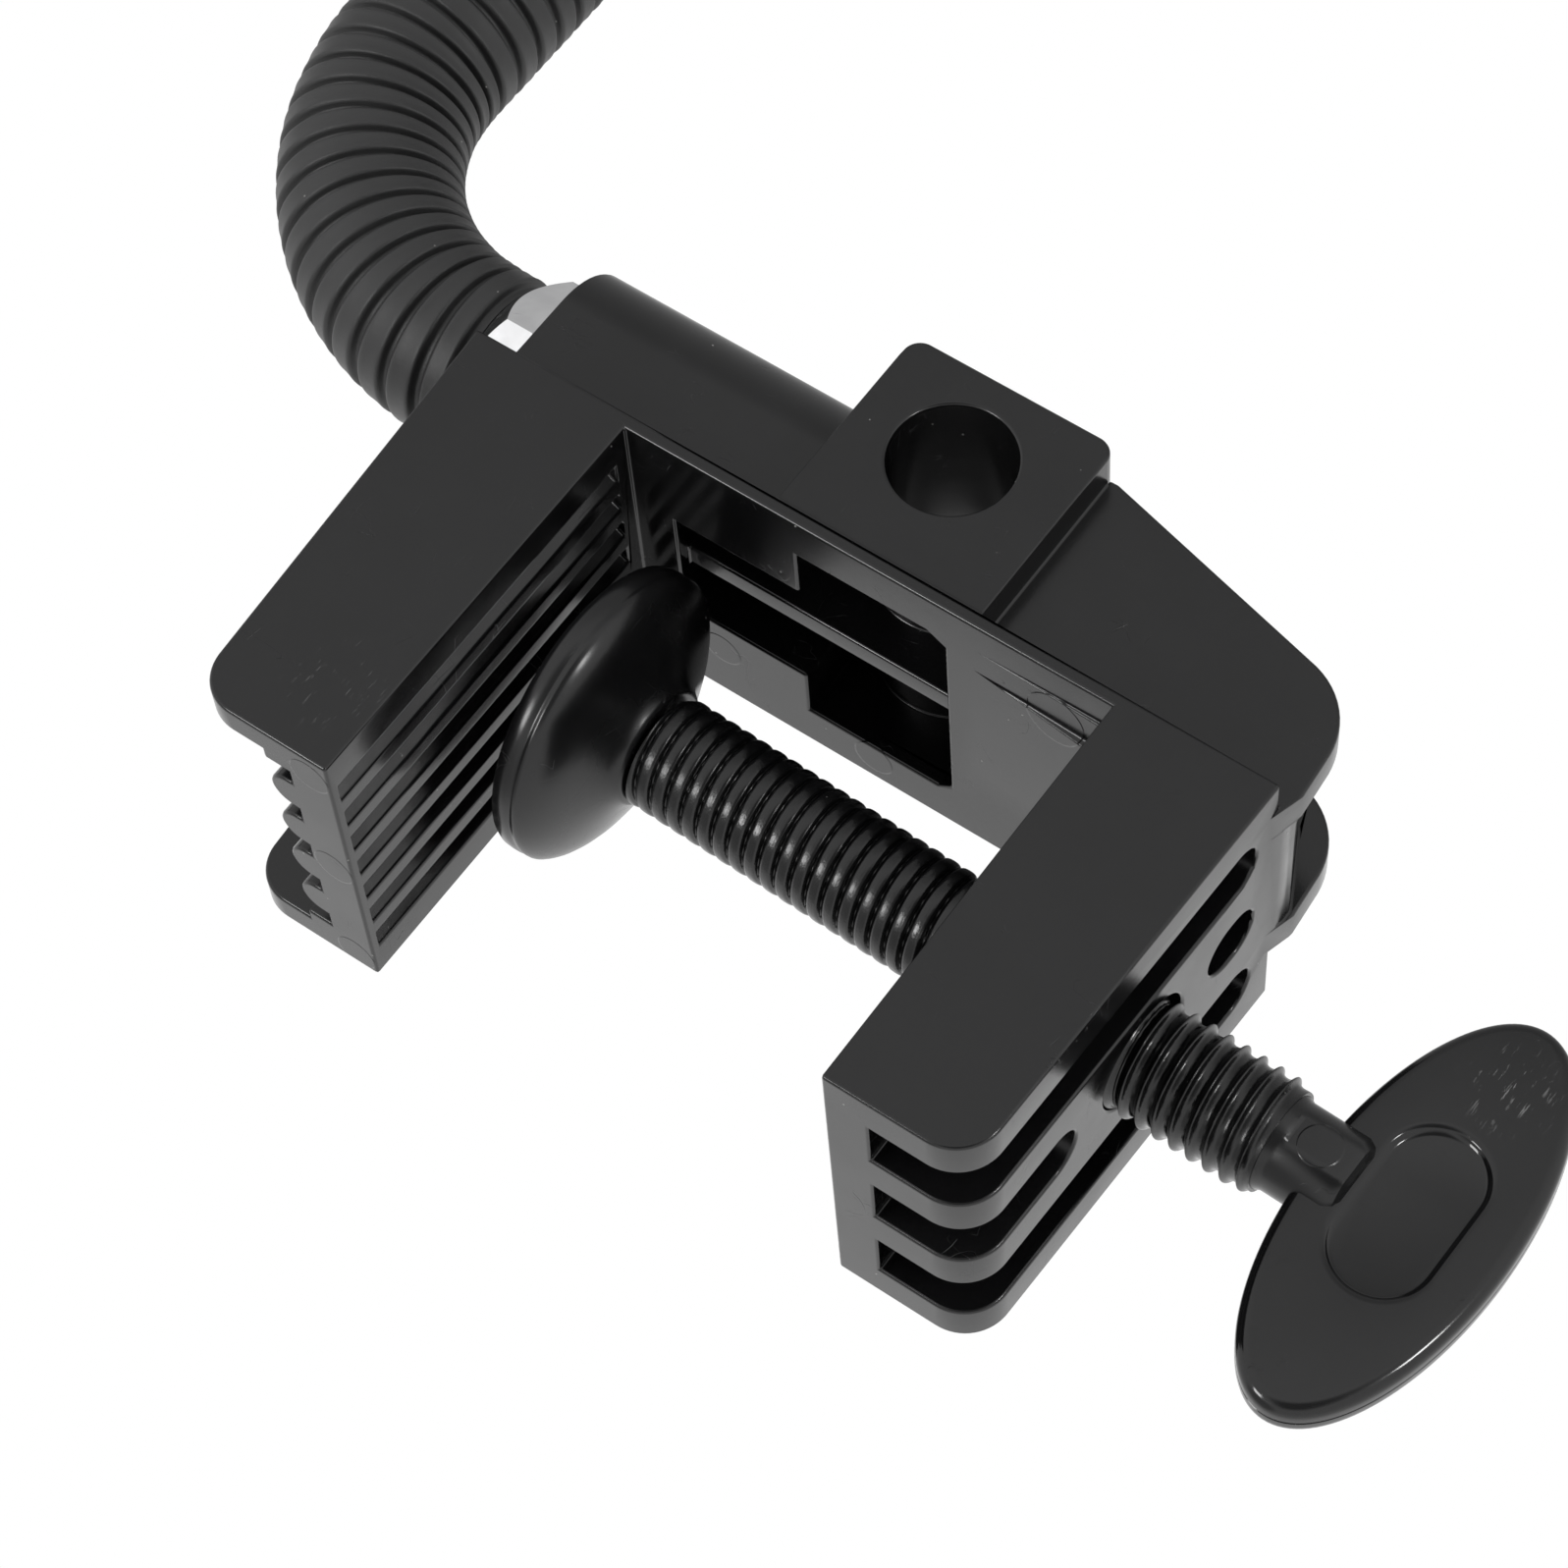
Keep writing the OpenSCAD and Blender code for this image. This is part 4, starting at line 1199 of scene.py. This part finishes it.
@dataclass
class NeckLine:
    """The neck's centre line in the plane X = 0, in millimetres."""

    start: tuple[float, float] = (-29.1, 24.5)
    legs: tuple[Leg, ...] = (
        Leg(3.5), Leg(math.pi * 29 / 2, 29, -1), Leg(21.0), Leg(math.pi * 40 / 2, 40, 1),
        Leg(math.pi * 130 * 50 / 180, 130, 1), Leg(20.0))
    stretch_legs: tuple[int, ...] = (1, 1, 1, 2, 3, 3, 3, 4, 4, 4, 4, 4, 5)
    first_joint: float = 10.4
    bend_shares: tuple[float, ...] = (0, 5 / 11, 1)
    first_groove: float = 0.55
    rib_pitch: float = 3.25

    def leg_start(self, i: int) -> float:
        """Length along the neck at which leg i starts."""
        return sum(leg.length for leg in self.legs[:i])

    @property
    def length(self) -> float:
        """Length of the whole neck."""
        return self.leg_start(len(self.legs))

    def joint(self, k: int) -> float:
        """Length along the neck at joint k, counted from 1.

        Args:
            k: The joint's number.

        Returns:
            The length in millimetres.
        """
        first = self.leg_start(1) + self.first_joint
        if k <= len(self.bend_shares):
            return first + self.bend_shares[k - 1] * (self.leg_start(2) - first)
        i = self.stretch_legs[k - 1]
        place = self.stretch_legs[:k].count(i)
        return self.leg_start(i) + self.legs[i].length * place / self.stretch_legs.count(i)

    def grooves(self) -> list[float]:
        """Lengths at which the sleeve's grooves lie: the ribs fill each stretch evenly.

        Returns:
            The lengths in millimetres, in order.
        """
        ends = [self.first_groove] + [self.joint(k) for k in range(1, len(self.stretch_legs) + 1)]
        out = [ends[0]]
        for a, b in zip(ends, ends[1:]):
            count = max(2, round((b - a) / self.rib_pitch))
            out.extend(a + (b - a) * (j + 1) / count for j in range(count))
        return out

    def at(self, s: float) -> tuple[Vector, Vector, Vector]:
        """The line at a length.

        Args:
            s: The length in millimetres.

        Returns:
            The point in metres, the unit heading and the unit normal in the plane.
        """
        y, z = self.start
        h = 0.0
        for i, leg in enumerate(self.legs):
            run = min(s, leg.length) if i < len(self.legs) - 1 else s
            if leg.side == 0:
                y, z = y + run * math.sin(h), z + run * math.cos(h)
            else:
                turn = leg.side * run / leg.radius
                cy, cz = y + leg.side * leg.radius * math.cos(h), z - leg.side * leg.radius * math.sin(h)
                h += turn
                y, z = cy - leg.side * leg.radius * math.cos(h), cz + leg.side * leg.radius * math.sin(h)
            s -= run
            if s <= TINY:
                break
        return (Vector((0, y, z)) * MM, Vector((0, math.sin(h), math.cos(h))),
                Vector((0, math.cos(h), -math.sin(h))))


@dataclass
class Neck:
    """The ribbed sleeve over the whole neck, in pieces that bend across its joints."""

    finishes: FinishSet
    line: NeckLine
    crest_r: float = 10.08
    groove: float = 0.98
    joints: int = 12
    facets: int = 96
    reach: float = 7.5
    unevenness: float = 0.05
    crest_drop: float = 0.03
    lean_share: float = 0.6
    rib: tuple[tuple[float, float], ...] = (
        (0.0, 1.0), (0.06, 0.97), (0.1, 0.8), (0.13, 0.42), (0.16, 0.14), (0.2, 0.02),
        (0.25, 0.0), (0.36, 0.05), (0.5, 0.07), (0.64, 0.05), (0.75, 0.0), (0.8, 0.02),
        (0.84, 0.14), (0.87, 0.42), (0.9, 0.8), (0.94, 0.97))

    @staticmethod
    def wobble(number: int) -> float:
        """A steady uneven value for a rib, from -0.5 to 0.5.

        Args:
            number: The rib's number.

        Returns:
            The value.
        """
        scattered = math.sin(number * 12.9898) * 43758.5453
        return (scattered - math.floor(scattered)) - 0.5

    def rings_between(self, s0: float, s1: float) -> list[tuple[float, float]]:
        """The sleeve's profile between two grooves.

        Args:
            s0: Length at the first groove, or 0 at the sleeve's start.
            s1: Length at the last groove.

        Returns:
            (length, radius) pairs in millimetres.
        """
        grooves = self.line.grooves()
        floor = self.crest_r - self.groove
        out = [(s0, floor)] if s0 < grooves[0] - SAME_PLACE else []
        for number, (a, b) in enumerate(zip(grooves, grooves[1:])):
            if a < s0 - SAME_PLACE or b > s1 + SAME_PLACE:
                continue
            wobble = self.wobble(number)
            crest = self.crest_r - self.crest_drop + self.unevenness * wobble
            for t, depth in self.rib:
                lean = self.unevenness * wobble * math.sin(math.pi * t)
                out.append((a + (b - a) * (t + lean * self.lean_share), crest - (crest - floor) * depth))
        out.append((s1, floor))
        return out

    def sleeve(self, name: str, s0: float, s1: float, closed: tuple[bool, bool]) -> bpy.types.Object:
        """One piece of sleeve.

        Args:
            name: Its name.
            s0: Length at its start.
            s1: Length at its end.
            closed: Whether its start and its end are closed.

        Returns:
            The piece.
        """
        shell = Shell(name)
        x = Vector((1, 0, 0))
        rings = []
        for s, r in self.rings_between(s0, s1):
            centre, _, normal = self.line.at(s)
            rings.append(shell.ring(circle(centre, x, normal, r * MM, self.facets)))
        for a, b in zip(rings, rings[1:]):
            shell.bridge(a, b)
        if closed[0]:
            shell.cap(rings[0], flip=True)
        if closed[1]:
            shell.cap(rings[-1])
        return shell.build(80.0)

    def snapped(self, s: float) -> float:
        """The groove nearest to a length."""
        return min(self.line.grooves(), key=lambda groove: abs(groove - s))

    def build(self) -> None:
        """Builds the sleeve's pieces, each blended across one joint."""
        s = [self.line.joint(k) for k in range(1, self.joints + 1)]
        cuts = [0.0] + [self.snapped((a + b) / 2) for a, b in zip(s, s[1:])] + [self.line.length]
        for k in range(1, self.joints + 1):
            piece = self.sleeve(f"sleeve_{k:02d}", cuts[k - 1], cuts[k], (k == 1, k == self.joints))
            below = "clamp" if k == 1 else f"neck_{k}"
            start = self.line.at(max(0.5, s[k - 1] - self.reach))[0]
            end = self.line.at(s[k - 1] + self.reach)[0]
            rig.blend(piece, below, f"neck_{k + 1}", start=tuple(start), end=tuple(end))
            nodes = [f"neck_sleeve_{k}"] + ([f"neck_sleeve_{k + 1}"] if k == self.joints else [])
            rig.replaces(piece, *nodes)
            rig.slot(piece, "sleeve")
            self.finishes.dress(piece, "ribbed_sleeve")
        for k in range(1, self.joints + 2):
            dress_node(f"neck_core_{k}", "drawn_steel", self.finishes)
        log.info("neck: %d sleeve pieces over %.0f mm", self.joints, self.line.length)


@dataclass
class Head:
    """The knuckle, the tilting crossbar and its two cradles."""

    finishes: FinishSet

    def build(self) -> None:
        """Dresses the head's mouldings and its hardware."""
        mouldings = (
            ("head_knuckle", "knuckle_body", "knuckle"), ("tilt_knob", "knob_body", "knob"),
            ("cradle_bar", "crossbar_body", "bar"), ("cradle_left", "left_cradle_body", "left_cradle"),
            ("cradle_right", "right_cradle_body", "right_cradle"))
        for node, name, body in mouldings:
            piece = plain_copy(node, name)
            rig.ride(piece, body)
            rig.replaces(piece, node)
            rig.slot(piece, "body")
            self.finishes.dress(piece, "moulded_black")
        for node in ("upper_nut", "pivot_bolt", "swivel_screw_left", "swivel_screw_right",
                     "swivel_nut_left", "swivel_nut_right"):
            dress_node(node, "bright_plating", self.finishes)
        dress_node("upper_stud", "drawn_steel", self.finishes)
        dress_node("knob_insert", "turned_brass", self.finishes)
        for side in Side:
            dress_node(f"liner_{side.name.lower()}", "soft_liner", self.finishes)
        log.info("head: %d mouldings", len(mouldings))


# ---------------------------------------------------------------- studio


@dataclass
class Viewpoint:
    """The photograph's camera, in millimetres in the row frame, and the named points seen from it."""

    place: Point = (-399.33, 175.69, -184.77)
    right: Point = (0.05282, -0.58337, -0.81049)
    up: Point = (-0.51037, -0.71338, 0.48021)
    lens: float = 109.28
    sensor: float = 36.0
    frame: float = 1568.0
    search_mm: tuple[int, int, int] = (-150, 151, 2)
    points: dict[str, tuple[float, float]] = field(default_factory=lambda: {
        "jaw_back_corner": (478.2, 327.9), "jaw_root": (626.8, 427.7), "arm_root": (1111.7, 702.2),
        "jaw_tip": (322.0, 769.8), "arm_tip": (819.1, 1075.2), "arm_back_corner": (1280.6, 785.9),
        "arm_tip_far": (840.9, 1264.6), "recess_centre": (1407.0, 1213.6),
        "spine_mark_low": (1055.6, 717.3), "spine_mark_high": (722.3, 648.6), "spine_mark_side": (873.6, 757.9),
        "jaw_end_mark": (333.3, 867.2)})
    camera: bpy.types.Object = field(init=False)

    def build(self) -> None:
        """Makes the camera and gives it to the scene."""
        data = bpy.data.cameras.new("photo_camera")
        data.lens, data.sensor_width, data.sensor_fit = self.lens, self.sensor, "AUTO"
        data.clip_start, data.clip_end = 0.01, 20
        right, up = Vector(self.right).normalized(), Vector(self.up)
        up = (up - right * right.dot(up)).normalized()
        self.camera = bpy.data.objects.new("photo_camera", data)
        bpy.context.scene.collection.objects.link(self.camera)
        turn = Matrix((right, up, right.cross(up))).transposed()
        self.camera.matrix_world = Matrix.Translation(Vector(self.place) * MM) @ turn.to_4x4()
        bpy.context.scene.camera = self.camera

    def meet(self, piece: bpy.types.Object, x: float, y: float) -> Vector:
        """Where the ray through an image point meets a piece; a miss takes the place nearest the ray.

        Args:
            piece: The piece, as finished and placed.
            x: The point's x in the scaled frame.
            y: The point's y in the scaled frame.

        Returns:
            The place in metres.
        """
        lens = self.camera.data
        size = self.frame
        along = Vector((x - size / 2 + lens.shift_x * size, size / 2 - y + lens.shift_y * size,
                        -size * lens.lens / lens.sensor_width))
        start = self.camera.matrix_world.translation
        along = (self.camera.matrix_world.to_3x3() @ along).normalized()
        tree = BVHTree.FromPolygons([piece.matrix_world @ v.co for v in piece.data.vertices],
                                    [tuple(face.vertices) for face in piece.data.polygons])
        hit = tree.ray_cast(start, along)[0]
        if hit is not None:
            return hit
        reach = (sum((Vector(c) for c in piece.bound_box), Vector()) / 8 - start).length
        tries = (start + along * (reach + step * MM) for step in range(*self.search_mm))
        near = [tree.find_nearest(spot) for spot in tries]
        return min(near, key=lambda found: found[3])[0]

    def project(self, points: np.ndarray) -> np.ndarray:
        """Projects points of the row frame into the photograph's scaled frame.

        Args:
            points: N by 3 points in metres.

        Returns:
            N by 2 image points.
        """
        inverse = np.array(self.camera.matrix_world.inverted())
        local = np.c_[points, np.ones(len(points))] @ inverse.T
        scale = self.frame * self.camera.data.lens / self.camera.data.sensor_width
        x = self.frame / 2 + scale * local[:, 0] / -local[:, 2]
        y = self.frame / 2 - scale * local[:, 1] / -local[:, 2]
        return np.c_[x, y]


@dataclass
class Studio:
    """The white surroundings, the floor and the soft lamps."""

    floor_z: float = -0.42
    floor_reach: float = 6.0
    fill: float = 0.55
    aim: Point = (0.0, -0.02, 0.0)
    dim_sides: tuple[tuple[Point, float, float, float], ...] = (
        ((-0.858, 0.388, -0.335), 0.97, 0.8, 0.75), ((-0.1, -0.95, 0.3), 0.88, 0.3, 0.55),
        ((0.05, 0.93, 0.37), 0.97, 0.8, 0.45))

    def mirror_level(self, g: Graph, ray: bpy.types.NodeSocket) -> bpy.types.NodeSocket:
        """How bright a reflection finds the surroundings: white, but dimmer towards the dim sides.

        Args:
            g: The graph to add to.
            ray: The direction in which the reflection looks.

        Returns:
            The level.
        """
        out = None
        for side, near, far, dimming in self.dim_sides:
            cosine = g.vector("DOT_PRODUCT", ray, Vector(side).normalized()).outputs["Value"]
            level = g.band(cosine, far, near, 1.0, 1.0 - dimming)
            out = level if out is None else g.maths("MULTIPLY", out, level)
        return out

    def world(self) -> None:
        """Sets a world that is white to the camera and uneven to reflections."""
        world = bpy.data.worlds.new("white_surroundings")
        world.use_nodes = True
        bpy.context.scene.world = world
        g = Graph(world.node_tree)
        world.node_tree.nodes.clear()
        path = g.add("LightPath")
        mirrored = g.maths("MAXIMUM", path.outputs["Is Glossy Ray"], path.outputs["Is Transmission Ray"])
        mirror_level = self.mirror_level(g, g.add("TexCoord").outputs["Generated"])
        background = g.add("Background")
        background.inputs["Color"].default_value = (1, 1, 1, 1)
        strength = g.maths("MULTIPLY_ADD", mirrored, g.maths("SUBTRACT", mirror_level, self.fill), self.fill)
        g.link(g.maths("MAXIMUM", path.outputs["Is Camera Ray"], strength), background.inputs["Strength"])
        out = g.add("OutputWorld")
        g.link(background.outputs[0], out.inputs["Surface"])

    def floor(self) -> None:
        """Lays a plain pale floor well below the stand; reflections find it as bright as the world."""
        mesh = bpy.data.meshes.new("floor")
        corners = [(x * self.floor_reach, y * self.floor_reach, self.floor_z)
                   for x, y in ((-1, -1), (1, -1), (1, 1), (-1, 1))]
        mesh.from_pydata(corners, [], [(0, 1, 2, 3)])
        floor = bpy.data.objects.new("floor", mesh)
        bpy.context.scene.collection.objects.link(floor)
        mat = bpy.data.materials.new("pale_floor")
        mat.use_nodes = True
        shader = mat.node_tree.nodes["Principled BSDF"]
        shader.inputs["Base Color"].default_value = (0.88, 0.88, 0.88, 1)
        shader.inputs["Roughness"].default_value = 0.9
        g = Graph(mat.node_tree)
        ray = g.vector("NORMALIZE", g.add("TexCoord").outputs["Object"]).outputs[0]
        glow, either = g.add("Emission"), g.add("MixShader")
        g.link(self.mirror_level(g, ray), glow.inputs["Strength"])
        g.link(g.add("LightPath").outputs["Is Glossy Ray"], either.inputs[0])
        g.link(shader.outputs[0], either.inputs[1])
        g.link(glow.outputs[0], either.inputs[2])
        g.link(either.outputs[0], mat.node_tree.nodes["Material Output"].inputs["Surface"])
        mesh.materials.append(mat)
        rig.stage(floor)

    def lamp(self, name: str, place: Point, target: Point, size: float, watts: float,
             mirrored: bool = False) -> None:
        """Adds one square soft lamp.

        Args:
            name: Its name.
            place: Its place in metres.
            target: The point that it faces.
            size: Its side in metres.
            watts: Its power.
            mirrored: Whether gloss shows the lamp itself.
        """
        data = bpy.data.lights.new(name, "AREA")
        data.size, data.energy = size, watts
        lamp = bpy.data.objects.new(name, data)
        bpy.context.scene.collection.objects.link(lamp)
        lamp.location = place
        lamp.visible_glossy = mirrored
        lamp.rotation_euler = (Vector(target) - Vector(place)).to_track_quat("-Z", "Y").to_euler()

    def build(self) -> None:
        """Sets the world, the floor and the lamps."""
        self.world()
        self.floor()
        self.lamp("key_softbox", (-0.5, 0.35, 0.75), self.aim, 0.5, 5.0)
        self.lamp("fill_softbox", (-0.6, -0.6, 0.2), self.aim, 0.6, 3.0)
        self.lamp("rim_softbox", (0.6, 0.5, 0.4), self.aim, 0.5, 3.0)
        self.lamp("side_softbox", (-0.33, 0.43, 0.2), self.aim, 0.16, 1.0, mirrored=True)
        self.lamp("low_lamp", (-0.234, -0.035, -0.33), self.aim, 0.05, 0.25, mirrored=True)
        view = bpy.context.scene.view_settings
        view.view_transform = "Standard"
        log.info("studio: world, floor and five lamps")


@dataclass
class ImagePoints:
    """What shows at each named image point, and how far it is off."""

    view: Viewpoint
    corners: dict[str, Point] = field(default_factory=lambda: {
        "jaw_back_corner": (-20, -21.5, 19.3), "jaw_root": (-20, -20, 0), "arm_root": (-20, -20, -57),
        "jaw_tip": (-20, 27, 0), "arm_tip": (-20, 27, -57), "arm_back_corner": (-20, -21.5, -74.7),
        "arm_tip_far": (20, 27, -57)})
    edges: dict[str, tuple[str, str, float]] = field(default_factory=lambda: {
        "key_left": ("screw_key", "x_low", 1234.2),
        "key_top": ("screw_key", "y_low", 1026.0),
        "key_bottom": ("screw_key", "y_high", 1425.6),
        "pad_left": ("pad_body", "x_low", 488.0),
        "neck_left": ("sleeve_01 sleeve_02 sleeve_03", "x_low", 274.9),
        "fin_right": ("clamp_body", "x_high", 1338.3),
        "jaw_left": ("clamp_body", "x_low", 206.5),
    })
    margin: float = 60.0

    @staticmethod
    def vertices(names: str) -> np.ndarray:
        """The finished vertices of some pieces.

        Args:
            names: The pieces' names, with spaces between them.

        Returns:
            N by 3 points in metres.
        """
        found = []
        for name in names.split():
            mesh = bpy.data.objects[name].data
            co = np.zeros(len(mesh.vertices) * 3)
            mesh.vertices.foreach_get("co", co)
            found.append(co.reshape(-1, 3))
        return np.vstack(found)

    def write(self, marks: tuple[tuple[Point, float], ...], recess: Vector, path: str = "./points.json") -> None:
        """Measures each point and writes how far it is off.

        Args:
            marks: The pin marks' centres and radii in millimetres.
            recess: The middle of the key's recess in metres.
            path: The file to write.
        """
        shown = {name: np.array(place) * MM for name, place in self.corners.items()}
        shown["recess_centre"] = np.array(recess)
        named = ["spine_mark_low", "spine_mark_high", "spine_mark_side", None, "jaw_end_mark"]
        shown.update({name: np.array(centre) * MM for name, (centre, _) in zip(named, marks) if name})
        out = {}
        for name, place in shown.items():
            x, y = self.view.points[name]
            seen = self.view.project(place[None, :])[0]
            out[name] = {"dx": round(float(seen[0] - x), 1), "dy": round(float(seen[1] - y), 1)}
        for name, (pieces, side, value) in self.edges.items():
            seen = self.view.project(self.vertices(pieces))
            column = seen[:, 0] if side.startswith("x") else seen[:, 1]
            inside = (seen > -self.margin).all(1) & (seen < self.view.frame + self.margin).all(1)
            found = column[inside].min() if side.endswith("low") else column[inside].max()
            out[name] = {("dx" if side.startswith("x") else "dy"): round(float(found - value), 1)}
        with open(path, "w", encoding="utf-8") as file:
            json.dump(out, file, indent=1)
        log.info("image points: %s", out)


def corner_lists(box: tuple[Vector, Vector]) -> list[list[float]]:
    """A box as plain lists of numbers."""
    return [[float(v) for v in corner] for corner in box]


def main() -> None:
    """Loads the frame and builds the stand around it."""
    logging.basicConfig(level=logging.INFO, format="%(name)s: %(message)s")
    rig.load()
    cad_box = corner_lists(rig.bounds())
    view = Viewpoint()
    view.build()
    finishes = FinishSet(SharedEffects())
    clamp = Clamp(finishes)
    marks = PinMarks(view).on(clamp.shape())
    screw = ClampScrew(finishes)
    finishes.build(marks, tuple(screw.placed(-screw.stem_flat, 0, screw.stem_mark_z) / MM))
    for part in (clamp, screw, PressurePad(finishes), Neck(finishes, NeckLine()), Head(finishes)):
        part.build()
    Studio().build()
    ImagePoints(view).write(marks, screw.placed(screw.dish[2] - screw.key_t / 2, 0, screw.key_z))
    with open("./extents.json", "w", encoding="utf-8") as file:
        json.dump({"cad": cad_box, "visual": corner_lists(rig.bounds())}, file)


if __name__ == "__main__":
    main()
